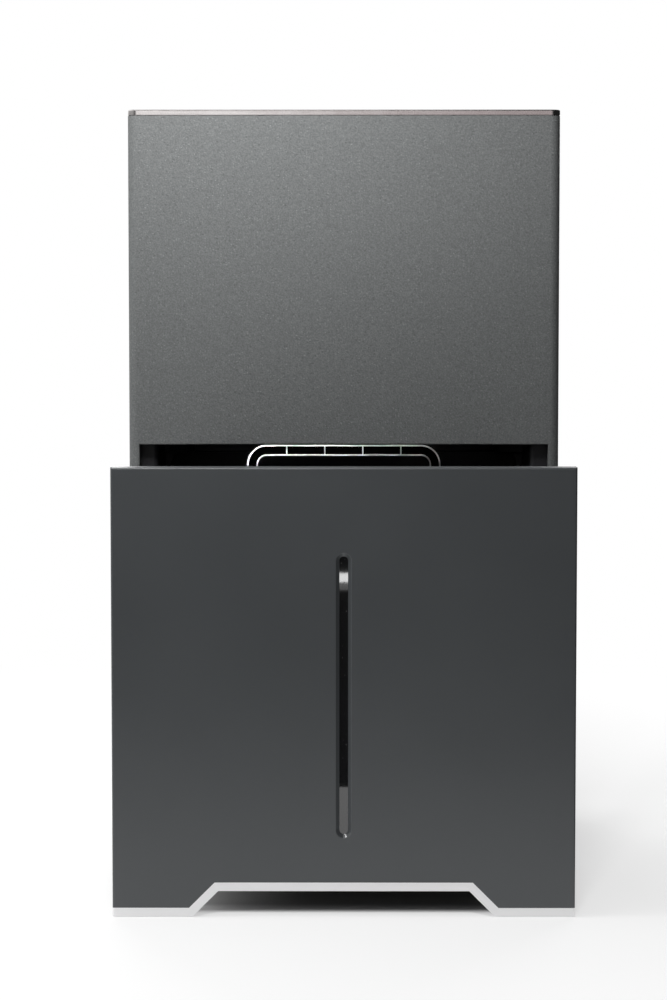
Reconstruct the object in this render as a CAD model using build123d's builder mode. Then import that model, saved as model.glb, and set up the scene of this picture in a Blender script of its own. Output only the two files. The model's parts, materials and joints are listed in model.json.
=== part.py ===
from build123d import *
import os
from math import atan, degrees, radians, tan

os.makedirs("parts", exist_ok=True)

# Free-standing trash compactor, drawer standing open. Millimetres, +Z up, front towards -Y.
# The origin is on the floor, in the middle of the open compactor.

# Cabinet
BODY_W = 430.0
BODY_D = 350.0
WRAP_D = 342.0
CORNER_R = 9.0
SHEET = 1.6
WRAP_Z = 12.0
WRAP_TOP_Z = 755.4
HEADER_Z = 428.8
OPENING_HALF = 204.3
OPENING_RETURN = 14.0
REAR_FLANGE = 18.0
SEAM_H = 0.8
TOP_EDGE_H = 5.2
TOP_T = 1.5
PAN_T = 1.5
PAN_H = 18.0
PAN_FRONT = 14.2

# Drawer front
DRAWER_OUT = 206.0
PANEL_T = 20.0
PANEL_Z = 1.0
PANEL_TOP_Z = 419.0
PANEL_SKIN = 2.2
PANEL_EDGE_R = 2.0
FOOT_INNER = 140.5
ARCH_RISE = 23.8
TRIM_T = 8.0
SLOT_W = 15.0
SLOT_Z = (74.4, 340.2)
SLOT_BEVEL = 3.5
STRIP_T = 2.5

# Press frame
FRAME_INNER = 186.6
FRAME_T = 2.0
FRAME_OUTER = 206.0
FRAME_FRONT = 16.0
CHAMBER_D = 270.0
FRAME_TOP_Z = 733.0
BEAM_T = 3.0
BEAM_FLANGE = 15.0
FRAME_BEND_R = 4.0
PRESS_TAPER = 45.0
CROSSBAR_Z = (407.0, 437.0)

# Press drive
PRESS_D = 143.0
SCREW_X = 169.0
SCREW_R = 8.0
JOURNAL_R = 6.0
RUNNING_GAP = 0.05
FREE_GAP = 1.0
BRACKET_Z = (413.0, 428.0)
MOTOR_D = 307.0
MOTOR_R = 30.0
SHAFT_R = 5.0
PULLEY_TIP_R = 19.0
PULLEY_ROOT_R = 17.4
PULLEY_TEETH = 24
TOOTH_W = 2.2
PULLEY_Z = 740.5
PULLEY_H = 10.0
PULLEY_FLANGE_R = 22.0
PULLEY_FLANGE_T = 1.0
BELT_GAP = 0.3
BELT_T = 1.6
BELT_H = 9.0

# Ram
RAM_W = 290.0
RAM_D = 178.0
RAM_R = 14.0
RAM_SHEET = 2.0
RAM_Z = 442.0
RAM_TOP_Z = 704.0
PLATE_T = 7.0
STUD_H = 4.0
STUD_PITCH = 34.0
CROSSHEAD_HALF = 184.0
CROSSHEAD_W = 50.0
CROSSHEAD_TOP_Z = 729.0

# Drawer slides
SLIDE_Z = 116.0
SLIDE_T = 1.4
SLIDE_D = (22.0, 266.0)

# Drawer
CARRIAGE_HALF = 173.9
CARRIAGE_T = 1.5
CARRIAGE_Z = (38.0, 163.0)
CARRIAGE_END = 36.0
BIN_D = (-173.5, 35.5)
BIN_W = 326.0
BIN_TOP_Z = 398.0
BIN_DRAFT = 6.0
BIN_WALL = 2.5
BIN_RIM = (4.0, 6.0)

# Bail handle
HANDLE_D = 45.0
HANDLE_T = 8.0
HANDLE_W = 196.3
HANDLE_TOP_Z = 426.3
HANDLE_BAND = 11.0
HANDLE_RIM = 1.4
HANDLE_CORNER_R = 14.5
HANDLE_TIES = (-57.9, -19.3, 19.3, 57.9)
TIE_T = 1.1
PIVOT_Z = 384.0
PIN_R = 2.5

# Controls on the top plate
CONTROL_D = 205.0
BUTTON_X = -28.0
KNOB_X = 28.0
BUTTON_R = 10.0
KNOB_STEM_R = 4.0
BUTTON_GAP = 0.3
STEM_GAP = 0.4

# Derived places
FRONT_Y = (DRAWER_OUT + PANEL_T - BODY_D) / 2
PANEL_BACK_D = -DRAWER_OUT
PANEL_FRONT_D = PANEL_BACK_D - PANEL_T
TOP_PLATE_Z = WRAP_TOP_Z + SEAM_H
TOP_Z = TOP_PLATE_Z + TOP_EDGE_H
PAN_FLOOR_Z = WRAP_Z + PAN_T


def depth(distance):
    """Y of a point that lies this far behind the cabinet's front face."""
    return FRONT_Y + distance


def front_plane(distance):
    """Upright plane facing the front: local x is X, local y is Z, extrusions come forwards."""
    return Plane(origin=(0, depth(distance), 0), x_dir=(1, 0, 0), z_dir=(0, -1, 0))


def rear_plane(distance):
    """Upright plane facing the rear: local x is -X, local y is Z, extrusions go backwards."""
    return Plane(origin=(0, depth(distance), 0), x_dir=(-1, 0, 0), z_dir=(0, 1, 0))


def side_plane(x):
    """Upright plane facing right: local x is Y, local y is Z, extrusions go to +X."""
    return Plane(origin=(x, 0, 0), x_dir=(0, 1, 0), z_dir=(1, 0, 0))


def floor_plane(z, x=0.0, distance=None):
    """Level plane at height z, centred at x and, where given, at a depth."""
    return Plane.XY.offset(z) if distance is None else Plane(origin=(x, depth(distance), z))


def save(piece, name):
    piece.part.label = name
    export_step(piece.part, f"parts/{name}.step")


# Cabinet wrap: header, posts and sides bent from one sheet, with returns round the opening
with BuildPart() as cabinet_wrap:
    with BuildSketch(floor_plane(WRAP_Z, 0, WRAP_D / 2)):
        RectangleRounded(BODY_W, WRAP_D, CORNER_R)
        RectangleRounded(BODY_W - 2 * SHEET, WRAP_D - 2 * SHEET, CORNER_R - SHEET, mode=Mode.SUBTRACT)
    extrude(amount=WRAP_TOP_Z - WRAP_Z)
    with BuildSketch(front_plane(WRAP_D + SHEET)):
        with Locations((0, WRAP_Z)):
            Rectangle(BODY_W - 2 * REAR_FLANGE, WRAP_TOP_Z, align=(Align.CENTER, Align.MIN))
    extrude(amount=3 * SHEET, mode=Mode.SUBTRACT)
    with BuildSketch(front_plane(2 * SHEET)):
        Rectangle(2 * (OPENING_HALF + SHEET), HEADER_Z + SHEET, align=(Align.CENTER, Align.MIN))
    extrude(amount=3 * SHEET, mode=Mode.SUBTRACT)
    with BuildSketch(rear_plane(0)):
        with Locations((0, WRAP_Z)):
            Rectangle(2 * (OPENING_HALF + SHEET), HEADER_Z + SHEET - WRAP_Z, align=(Align.CENTER, Align.MIN))
            Rectangle(
                2 * OPENING_HALF,
                HEADER_Z - WRAP_Z,
                align=(Align.CENTER, Align.MIN),
                mode=Mode.SUBTRACT,
            )
    extrude(amount=OPENING_RETURN)
    front_edges = cabinet_wrap.faces().sort_by(Axis.Y)[0].edges()
    posts = front_edges.filter_by(Axis.Z).filter_by_position(Axis.X, -OPENING_HALF - 0.1, OPENING_HALF + 0.1)
    header = front_edges.filter_by(Axis.X).filter_by_position(Axis.Z, HEADER_Z - 0.1, HEADER_Z + 0.1)
    fillet(posts + header, radius=0.75 * SHEET)
save(cabinet_wrap, "cabinet_wrap")

# Base pan: folded tray that closes the cabinet's bottom
with BuildPart() as base_pan:
    with BuildSketch(floor_plane(WRAP_Z, 0, (PAN_FRONT + WRAP_D - SHEET) / 2)):
        RectangleRounded(BODY_W - 2 * SHEET, WRAP_D - SHEET - PAN_FRONT, CORNER_R - SHEET)
    extrude(amount=PAN_H)
    offset(amount=-PAN_T, openings=base_pan.faces().sort_by(Axis.Z)[-1])
save(base_pan, "base_pan")

# Four tapered rubber feet
FOOT_R = 16.0
FOOT_TAPER = 8.0
FOOT_SPACING = (360.0, 270.0)
FOOT_MID_D = WRAP_D / 2 + 4.0
with BuildPart() as rubber_feet:
    with BuildSketch(Plane(origin=(0, depth(FOOT_MID_D), WRAP_Z), z_dir=(0, 0, -1))):
        with GridLocations(*FOOT_SPACING, 2, 2):
            Circle(FOOT_R)
    extrude(amount=WRAP_Z, taper=FOOT_TAPER)
save(rubber_feet, "rubber_feet")

# Rear cover: sheet with a raised panel, pressed louvres and the hole for the cord gland
COVER_W = 412.0
COVER_Z = (16.0, 755.0)
COVER_T = 1.5
COVER_R = 6.0
RAISED = 4.0
RAISED_MARGIN = 21.0
RAISED_R = 12.0
RAISED_WALL = 1.0
LOUVRE_L = 70.0
LOUVRE_H = 9.0
LOUVRE_OUT = 2.3
LOUVRE_T = 1.0
LOUVRE_PITCH = 15.0
LOUVRE_COLUMNS = (-105.0, 35.0)
LOUVRE_BANKS = ((583.0, 8), (103.0, 5))
GLAND_X = 120.0
GLAND_Z = 60.0
GLAND_BODY_R = 9.0
COVER_H = COVER_Z[1] - COVER_Z[0]
COVER_MID_Z = (COVER_Z[0] + COVER_Z[1]) / 2
RAISED_SIZE = (COVER_W - 2 * RAISED_MARGIN, COVER_H - 2 * RAISED_MARGIN)
RAISED_D = WRAP_D + COVER_T + RAISED
louvre_feet = [bank_z + row * LOUVRE_PITCH for bank_z, rows in LOUVRE_BANKS for row in range(rows)]
with BuildPart() as rear_cover:
    with BuildSketch(rear_plane(WRAP_D)):
        with Locations((0, COVER_MID_Z)):
            RectangleRounded(COVER_W, COVER_H, COVER_R)
    extrude(amount=COVER_T)
    with BuildSketch(rear_plane(WRAP_D + COVER_T)):
        with Locations((0, COVER_MID_Z)):
            RectangleRounded(*RAISED_SIZE, RAISED_R)
    extrude(amount=RAISED, taper=PRESS_TAPER)
    with BuildSketch(rear_plane(WRAP_D)):
        with Locations((0, COVER_MID_Z)):
            RectangleRounded(*[size - 2 * RAISED_WALL for size in RAISED_SIZE], RAISED_R - RAISED_WALL)
    extrude(amount=RAISED, taper=PRESS_TAPER, mode=Mode.SUBTRACT)
    for column_x in LOUVRE_COLUMNS:
        with BuildSketch(side_plane(column_x)):
            for foot_z in louvre_feet:
                with BuildLine():
                    Polyline(
                        (depth(RAISED_D), foot_z),
                        (depth(RAISED_D + LOUVRE_OUT), foot_z),
                        (depth(RAISED_D), foot_z + LOUVRE_H),
                        close=True,
                    )
                make_face()
        extrude(amount=LOUVRE_L)
        with BuildSketch(side_plane(column_x + LOUVRE_T)):
            for foot_z in louvre_feet:
                with BuildLine():
                    Polyline(
                        (depth(RAISED_D - 2 * COVER_T), foot_z),
                        (depth(RAISED_D + LOUVRE_OUT - LOUVRE_T), foot_z),
                        (depth(RAISED_D - LOUVRE_T), foot_z + LOUVRE_H),
                        (depth(RAISED_D - 2 * COVER_T), foot_z + LOUVRE_H),
                        close=True,
                    )
                make_face()
        extrude(amount=LOUVRE_L - 2 * LOUVRE_T, mode=Mode.SUBTRACT)
    with BuildSketch(rear_plane(WRAP_D)):
        with Locations((-GLAND_X, GLAND_Z)):
            Circle(GLAND_BODY_R)
    extrude(amount=RAISED_D - WRAP_D, mode=Mode.SUBTRACT)
save(rear_cover, "rear_cover")

# Pan-head screws that hold the rear cover to the wrap's flanges
SCREW_HEAD_R = 3.6
SCREW_HEAD_H = 2.0
SCREW_HEAD_TAPER = 12.0
SCREW_HEAD_SIDES = 12
SCREW_SPACING = (COVER_W - 12.0, (COVER_H - 40.0) / 3)
with BuildPart() as rear_cover_screws:
    with BuildSketch(rear_plane(WRAP_D + COVER_T)):
        with Locations((0, COVER_MID_Z)):
            with GridLocations(*SCREW_SPACING, 2, 4):
                RegularPolygon(SCREW_HEAD_R, SCREW_HEAD_SIDES)
    extrude(amount=SCREW_HEAD_H, taper=SCREW_HEAD_TAPER)
save(rear_cover_screws, "rear_cover_screws")

# Cord gland in the rear cover, bored for the mains lead
GLAND_BORE_R = 4.0
GLAND_INNER_D = 330.0
GLAND_CHAMFER = 1.5
GLAND_FLANGE = (4.0, 3.0)
gland_axis = Plane(origin=(GLAND_X, depth(0), GLAND_Z), x_dir=(1, 0, 0), z_dir=(0, 0, 1))
with BuildPart() as cord_gland:
    with BuildSketch(gland_axis):
        with BuildLine():
            Polyline(
                (GLAND_BORE_R, GLAND_INNER_D),
                (GLAND_BODY_R - GLAND_CHAMFER, GLAND_INNER_D),
                (GLAND_BODY_R, GLAND_INNER_D + GLAND_CHAMFER),
                (GLAND_BODY_R, RAISED_D),
                (GLAND_BODY_R + GLAND_FLANGE[0], RAISED_D),
                (GLAND_BODY_R + GLAND_FLANGE[1], BODY_D),
                (GLAND_BORE_R, BODY_D),
                close=True,
            )
        make_face()
    revolve(axis=Axis((GLAND_X, 0, GLAND_Z), (0, 1, 0)))
save(cord_gland, "cord_gland")

# Top gasket: the dark seam under the top plate
GASKET_W = 10.0
with BuildPart() as top_gasket:
    with BuildSketch(floor_plane(WRAP_TOP_Z, 0, WRAP_D / 2)):
        RectangleRounded(BODY_W - SHEET, WRAP_D - SHEET, CORNER_R - SHEET / 2)
        RectangleRounded(BODY_W - 2 * GASKET_W, WRAP_D - 2 * GASKET_W, CORNER_R / 3, mode=Mode.SUBTRACT)
    extrude(amount=SEAM_H)
save(top_gasket, "top_gasket")

# Top plate: polished pan with a rolled edge, holed for the button and the knob
TOP_EDGE_R = 1.2
with BuildPart() as top_plate:
    with BuildSketch(floor_plane(TOP_PLATE_Z, 0, WRAP_D / 2)):
        RectangleRounded(BODY_W, WRAP_D, CORNER_R)
    extrude(amount=TOP_EDGE_H)
    fillet(top_plate.faces().sort_by(Axis.Z)[-1].edges(), radius=TOP_EDGE_R)
    with BuildSketch(floor_plane(TOP_PLATE_Z, 0, WRAP_D / 2)):
        RectangleRounded(BODY_W - 2 * TOP_T, WRAP_D - 2 * TOP_T, CORNER_R - TOP_T)
    extrude(amount=TOP_EDGE_H - TOP_T, mode=Mode.SUBTRACT)
    with BuildSketch(floor_plane(TOP_PLATE_Z, 0, CONTROL_D)):
        with Locations((BUTTON_X, 0)):
            Circle(BUTTON_R + BUTTON_GAP)
        with Locations((KNOB_X, 0)):
            Circle(KNOB_STEM_R + STEM_GAP)
    extrude(amount=2 * TOP_EDGE_H, mode=Mode.SUBTRACT)
save(top_plate, "top_plate")

# Control plate on the top, with a raised ring round the button
CONTROL_SIZE = (112.0, 44.0)
CONTROL_R = 8.0
CONTROL_T = 1.2
RING_H = 1.2
RING_W = 3.5
RING_TAPER = 30.0
with BuildPart() as control_plate:
    with BuildSketch(floor_plane(TOP_Z, 0, CONTROL_D)):
        RectangleRounded(*CONTROL_SIZE, CONTROL_R)
    extrude(amount=CONTROL_T)
    with BuildSketch(floor_plane(TOP_Z + CONTROL_T, BUTTON_X, CONTROL_D)):
        Circle(BUTTON_R + RING_W)
    extrude(amount=RING_H, taper=RING_TAPER)
    with BuildSketch(floor_plane(TOP_Z, 0, CONTROL_D)):
        with Locations((BUTTON_X, 0)):
            Circle(BUTTON_R + BUTTON_GAP)
        with Locations((KNOB_X, 0)):
            Circle(KNOB_STEM_R + STEM_GAP)
    extrude(amount=CONTROL_T + RING_H, mode=Mode.SUBTRACT)
save(control_plate, "control_plate")

# Start button with a dished cap
BUTTON_Z = (754.5, 766.0)
BUTTON_EDGE = 1.0
BUTTON_LAND = 2.4
DISH = 0.8
with BuildPart() as start_button:
    with BuildSketch(front_plane(CONTROL_D)):
        with BuildLine():
            Polyline(
                (BUTTON_X, BUTTON_Z[0]),
                (BUTTON_X + BUTTON_R, BUTTON_Z[0]),
                (BUTTON_X + BUTTON_R, BUTTON_Z[1] - BUTTON_EDGE),
                (BUTTON_X + BUTTON_R - BUTTON_EDGE, BUTTON_Z[1]),
                (BUTTON_X + BUTTON_R - BUTTON_LAND, BUTTON_Z[1]),
                (BUTTON_X, BUTTON_Z[1] - DISH),
                close=True,
            )
        make_face()
    revolve(axis=Axis((BUTTON_X, depth(CONTROL_D), 0), (0, 0, 1)))
save(start_button, "start_button")

# Start switch and lock switch housings under the top plate
SWITCH_SIZE = (30.0, 30.0, 18.0)
SWITCH_WELL = 10.0
SWITCH_CHAMFER = 3.0
SWITCH_TOP_Z = TOP_Z - TOP_T
for switch_name, switch_x, well_r in (
    ("start_switch", BUTTON_X, BUTTON_R + BUTTON_GAP),
    ("lock_switch", KNOB_X, KNOB_STEM_R + RUNNING_GAP),
):
    with BuildPart() as control_switch:
        with BuildSketch(floor_plane(SWITCH_TOP_Z, switch_x, CONTROL_D)):
            Rectangle(SWITCH_SIZE[0], SWITCH_SIZE[1])
        extrude(amount=-SWITCH_SIZE[2])
        chamfer(control_switch.edges().filter_by(Axis.Z), length=SWITCH_CHAMFER)
        with BuildSketch(floor_plane(SWITCH_TOP_Z, switch_x, CONTROL_D)):
            Circle(well_r)
        extrude(amount=-SWITCH_WELL, mode=Mode.SUBTRACT)
    save(control_switch, switch_name)

# Lock knob: notched skirt, tapered grip bar and stem
KNOB_Z = TOP_Z + CONTROL_T + STEM_GAP
KNOB_SKIRT = (13.0, 3.0)
KNOB_GRIP = (24.0, 7.0, 7.0)
GRIP_TAPER = 6.0
KNOB_NOTCHES = 12
NOTCH_R = 1.6
with BuildPart() as lock_knob:
    with BuildSketch(floor_plane(KNOB_Z, KNOB_X, CONTROL_D)):
        Circle(KNOB_SKIRT[0])
        with PolarLocations(KNOB_SKIRT[0] + NOTCH_R / 2, KNOB_NOTCHES):
            RegularPolygon(NOTCH_R, 4, mode=Mode.SUBTRACT)
    extrude(amount=KNOB_SKIRT[1])
    with BuildSketch(floor_plane(KNOB_Z + KNOB_SKIRT[1], KNOB_X, CONTROL_D)):
        SlotOverall(KNOB_GRIP[0], KNOB_GRIP[1])
    extrude(amount=KNOB_GRIP[2], taper=GRIP_TAPER)
    with BuildSketch(floor_plane(KNOB_Z, KNOB_X, CONTROL_D)):
        Circle(KNOB_STEM_R)
    extrude(amount=SWITCH_TOP_Z - SWITCH_WELL + FREE_GAP - KNOB_Z)
save(lock_knob, "lock_knob")

# Press frame: left and right pressed side frames, which also wall the chamber
LIGHTENING = (150.0, 26.0)
LIGHTENING_D = (60.0, 226.0)
LIGHTENING_Z = 578.0
for side, side_name in ((-1, "left"), (1, "right")):
    web_x = side * (FRAME_INNER + FRAME_T / 2)
    lip_x = side * FRAME_OUTER
    with BuildPart() as side_frame:
        with BuildSketch(floor_plane(PAN_FLOOR_Z)):
            with BuildLine():
                FilletPolyline(
                    (lip_x, depth(FRAME_FRONT + FRAME_T / 2)),
                    (web_x, depth(FRAME_FRONT + FRAME_T / 2)),
                    (web_x, depth(CHAMBER_D - FRAME_T / 2)),
                    (lip_x, depth(CHAMBER_D - FRAME_T / 2)),
                    radius=FRAME_BEND_R,
                )
            trace(line_width=FRAME_T)
        extrude(amount=FRAME_TOP_Z - PAN_FLOOR_Z)
        with BuildSketch(side_plane(side * (FRAME_INNER - FRAME_T))):
            with Locations(*[(depth(d), LIGHTENING_Z) for d in LIGHTENING_D]):
                SlotOverall(*LIGHTENING, rotation=90)
        extrude(amount=side * 4 * FRAME_T, mode=Mode.SUBTRACT)
    save(side_frame, f"side_frame_{side_name}")

# Top beam: flat plate across the side frames with a shelf for the gear motor
BEAM_D = (100.0, 186.0)
SHELF_HALF = 52.0
SHELF_FLARE = 1.6
BUSH_R = 11.0
with BuildPart() as top_beam:
    with BuildSketch(floor_plane(FRAME_TOP_Z, 0, sum(BEAM_D) / 2)):
        Rectangle(2 * FRAME_OUTER, BEAM_D[1] - BEAM_D[0])
    extrude(amount=BEAM_T)
    with BuildSketch(floor_plane(FRAME_TOP_Z)):
        with BuildLine():
            Polyline(
                (-SHELF_HALF * SHELF_FLARE, depth(BEAM_D[1])),
                (-SHELF_HALF, depth(MOTOR_D - MOTOR_R)),
                (-SHELF_HALF, depth(MOTOR_D + MOTOR_R)),
                (SHELF_HALF, depth(MOTOR_D + MOTOR_R)),
                (SHELF_HALF, depth(MOTOR_D - MOTOR_R)),
                (SHELF_HALF * SHELF_FLARE, depth(BEAM_D[1])),
                close=True,
            )
        make_face()
    extrude(amount=BEAM_T)
    with BuildSketch(floor_plane(FRAME_TOP_Z)):
        with Locations((-SCREW_X, depth(PRESS_D)), (SCREW_X, depth(PRESS_D))):
            Circle(BUSH_R)
        with Locations((0, depth(MOTOR_D))):
            Circle(SHAFT_R + FREE_GAP)
    extrude(amount=BEAM_T, mode=Mode.SUBTRACT)
save(top_beam, "top_beam")

# Beam flanges: two bars welded on edge under the top beam
FLANGE_END_GAP = 2.6
with BuildPart() as beam_flanges:
    with BuildSketch(floor_plane(FRAME_TOP_Z)):
        for edge_d in (BEAM_D[0] + BEAM_T / 2, BEAM_D[1] - BEAM_T / 2):
            with Locations((0, depth(edge_d))):
                Rectangle(2 * (FRAME_INNER - FLANGE_END_GAP), BEAM_T)
    extrude(amount=-BEAM_FLANGE)
save(beam_flanges, "beam_flanges")

# Crossbar: rounded channel that ties the side frames at the back, below the parked ram
CROSSBAR_DEPTH = 12.0
CROSSBAR_T = 2.0
with BuildPart() as frame_crossbar:
    with BuildSketch(side_plane(-FRAME_INNER)):
        with BuildLine():
            FilletPolyline(
                (depth(CHAMBER_D), CROSSBAR_Z[0] + CROSSBAR_T / 2),
                (depth(CHAMBER_D - CROSSBAR_DEPTH) + CROSSBAR_T / 2, CROSSBAR_Z[0] + CROSSBAR_T / 2),
                (depth(CHAMBER_D - CROSSBAR_DEPTH) + CROSSBAR_T / 2, CROSSBAR_Z[1] - CROSSBAR_T / 2),
                (depth(CHAMBER_D), CROSSBAR_Z[1] - CROSSBAR_T / 2),
                radius=FRAME_BEND_R,
            )
        trace(line_width=CROSSBAR_T)
    extrude(amount=2 * FRAME_INNER)
save(frame_crossbar, "frame_crossbar")

# Chamber back wall, with pressed horizontal beads
BACK_HALF = 206.0
BACK_T = 1.5
BACK_REAR_D = CHAMBER_D + BACK_T
BEAD = (340.0, 14.0, 2.0)
BEAD_Z = (118.0, 218.0, 318.0)
BEAD_WALL = 0.5
with BuildPart() as chamber_back:
    with BuildSketch(rear_plane(CHAMBER_D)):
        with Locations((0, (PAN_FLOOR_Z + FRAME_TOP_Z) / 2)):
            Rectangle(2 * BACK_HALF, FRAME_TOP_Z - PAN_FLOOR_Z)
    extrude(amount=BACK_T)
    with BuildSketch(rear_plane(BACK_REAR_D)):
        with Locations(*[(0, z) for z in BEAD_Z]):
            SlotOverall(BEAD[0], BEAD[1])
    extrude(amount=BEAD[2], taper=PRESS_TAPER)
    with BuildSketch(rear_plane(CHAMBER_D)):
        with Locations(*[(0, z) for z in BEAD_Z]):
            SlotOverall(BEAD[0] - 2 * BEAD_WALL, BEAD[1] - 2 * BEAD_WALL)
    extrude(amount=BEAD[2], taper=PRESS_TAPER, mode=Mode.SUBTRACT)
save(chamber_back, "chamber_back")

# Upper bushes of the lead screws, flanged over the top beam
BUSH_FLANGE = (15.0, 2.5)
BUSH_BELOW = 2.0
BUSH_Z = FRAME_TOP_Z - BUSH_BELOW
with BuildPart() as upper_bushes:
    for bush_x in (-SCREW_X, SCREW_X):
        with BuildSketch(floor_plane(BUSH_Z, bush_x, PRESS_D)):
            Circle(BUSH_R)
        extrude(amount=BUSH_BELOW + BEAM_T + BUSH_FLANGE[1])
        with BuildSketch(floor_plane(FRAME_TOP_Z + BEAM_T, bush_x, PRESS_D)):
            Circle(BUSH_FLANGE[0])
        extrude(amount=BUSH_FLANGE[1])
        with BuildSketch(floor_plane(BUSH_Z, bush_x, PRESS_D)):
            Circle(JOURNAL_R + RUNNING_GAP)
        extrude(amount=2 * BEAM_T + BUSH_FLANGE[1], mode=Mode.SUBTRACT)
save(upper_bushes, "upper_bushes")

# Lower bearing brackets: a boss on a tapered arm, with a rib down the side frame
BOSS_R = 13.0
ARM_W = 36.0
ARM_FOOT = 4.0
ARM_CHAMFER = 2.0
RIB_T = 6.0
RIB_W = 8.0
RIB_DROP = 30.0
for side, side_name in ((-1, "left"), (1, "right")):
    with BuildPart() as bearing_bracket:
        with BuildSketch(floor_plane(BRACKET_Z[0], 0, PRESS_D)):
            with Locations((side * SCREW_X, 0)):
                Circle(BOSS_R)
            with Locations((side * (FRAME_INNER - ARM_FOOT / 2), 0)):
                Rectangle(ARM_FOOT, ARM_W)
            make_hull()
            with Locations((side * SCREW_X, 0)):
                Circle(JOURNAL_R + RUNNING_GAP, mode=Mode.SUBTRACT)
        extrude(amount=BRACKET_Z[1] - BRACKET_Z[0])
        chamfer(bearing_bracket.faces().sort_by(Axis.Z)[0].outer_wire().edges(), length=ARM_CHAMFER)
        with BuildSketch(front_plane(PRESS_D + RIB_T / 2)):
            with BuildLine():
                Polyline(
                    (side * FRAME_INNER, BRACKET_Z[0]),
                    (side * (FRAME_INNER - RIB_W), BRACKET_Z[0]),
                    (side * FRAME_INNER, BRACKET_Z[0] - RIB_DROP),
                    close=True,
                )
            make_face()
        extrude(amount=RIB_T)
    save(bearing_bracket, f"bearing_bracket_{side_name}")

# Lead screws with turned-down journals, and their toothed pulleys
SCREW_Z = (429.0, 730.0)
JOURNAL_Z = (415.0, 753.0)
SCREW_CHAMFER = 1.0
TOOTH_ROOT = 0.8


def toothed_pulley(name, x, distance, bore):
    """Toothed wheel between two flanges, on an upright axis."""
    with BuildPart() as pulley:
        with BuildSketch(floor_plane(PULLEY_Z, x, distance)):
            RegularPolygon(PULLEY_ROOT_R, PULLEY_TEETH)
            with PolarLocations((PULLEY_TIP_R + PULLEY_ROOT_R - TOOTH_ROOT) / 2, PULLEY_TEETH):
                Rectangle(PULLEY_TIP_R - PULLEY_ROOT_R + TOOTH_ROOT, TOOTH_W)
        extrude(amount=PULLEY_H)
        for flange_z in (PULLEY_Z - PULLEY_FLANGE_T, PULLEY_Z + PULLEY_H):
            with BuildSketch(floor_plane(flange_z, x, distance)):
                Circle(PULLEY_FLANGE_R)
            extrude(amount=PULLEY_FLANGE_T)
        with BuildSketch(floor_plane(PULLEY_Z - PULLEY_FLANGE_T, x, distance)):
            Circle(bore)
        extrude(amount=PULLEY_H + 2 * PULLEY_FLANGE_T, mode=Mode.SUBTRACT)
    save(pulley, name)


for side, side_name in ((-1, "left"), (1, "right")):
    with BuildPart() as lead_screw:
        with BuildSketch(floor_plane(SCREW_Z[0], side * SCREW_X, PRESS_D)):
            Circle(SCREW_R)
        extrude(amount=SCREW_Z[1] - SCREW_Z[0])
        chamfer(lead_screw.edges(), length=SCREW_CHAMFER)
        with BuildSketch(floor_plane(JOURNAL_Z[0], side * SCREW_X, PRESS_D)):
            Circle(JOURNAL_R)
        extrude(amount=JOURNAL_Z[1] - JOURNAL_Z[0])
    save(lead_screw, f"lead_screw_{side_name}")
    toothed_pulley(f"screw_pulley_{side_name}", side * SCREW_X, PRESS_D, JOURNAL_R)

# Motor pulley and its shaft, which turn above and inside the gearbox
SHAFT_Z = (714.0, 753.0)
SHAFT_CHAMFER = 0.8
toothed_pulley("motor_pulley", 0, MOTOR_D, SHAFT_R)
with BuildPart() as motor_shaft:
    with BuildSketch(floor_plane(SHAFT_Z[0], 0, MOTOR_D)):
        Circle(SHAFT_R)
    extrude(amount=SHAFT_Z[1] - SHAFT_Z[0])
    chamfer(motor_shaft.edges(), length=SHAFT_CHAMFER)
save(motor_shaft, "motor_shaft")

# Drive belt: taut loop round the three pulleys
with BuildPart() as drive_belt:
    with BuildSketch(floor_plane(PULLEY_Z + (PULLEY_H - BELT_H) / 2)):
        with Locations((-SCREW_X, depth(PRESS_D)), (SCREW_X, depth(PRESS_D)), (0, depth(MOTOR_D))):
            Circle(PULLEY_TIP_R + BELT_GAP + BELT_T)
        make_hull()
        offset(amount=-BELT_T, mode=Mode.SUBTRACT)
    extrude(amount=BELT_H)
save(drive_belt, "drive_belt")

# Gearbox under the shelf, bored for the shaft, with mounting ears
GEARBOX_Z = 688.0
GEARBOX_SIZE = (76.0, 58.0)
GEARBOX_R = 12.0
GEARBOX_CHAMFER = 5.0
EAR_W = 24.0
EAR_R = 8.0
EAR_T = 5.0
with BuildPart() as gearbox:
    with BuildSketch(floor_plane(GEARBOX_Z, 0, MOTOR_D)):
        RectangleRounded(*GEARBOX_SIZE, GEARBOX_R)
    extrude(amount=FRAME_TOP_Z - GEARBOX_Z)
    chamfer(gearbox.faces().sort_by(Axis.Z)[0].edges(), length=GEARBOX_CHAMFER)
    with BuildSketch(floor_plane(FRAME_TOP_Z, 0, MOTOR_D)):
        RectangleRounded(2 * SHELF_HALF, EAR_W, EAR_R)
    extrude(amount=-EAR_T)
    with BuildSketch(floor_plane(FRAME_TOP_Z, 0, MOTOR_D)):
        Circle(SHAFT_R + RUNNING_GAP)
    extrude(amount=SHAFT_Z[0] - FRAME_TOP_Z - FREE_GAP, mode=Mode.SUBTRACT)
save(gearbox, "gearbox")

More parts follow.
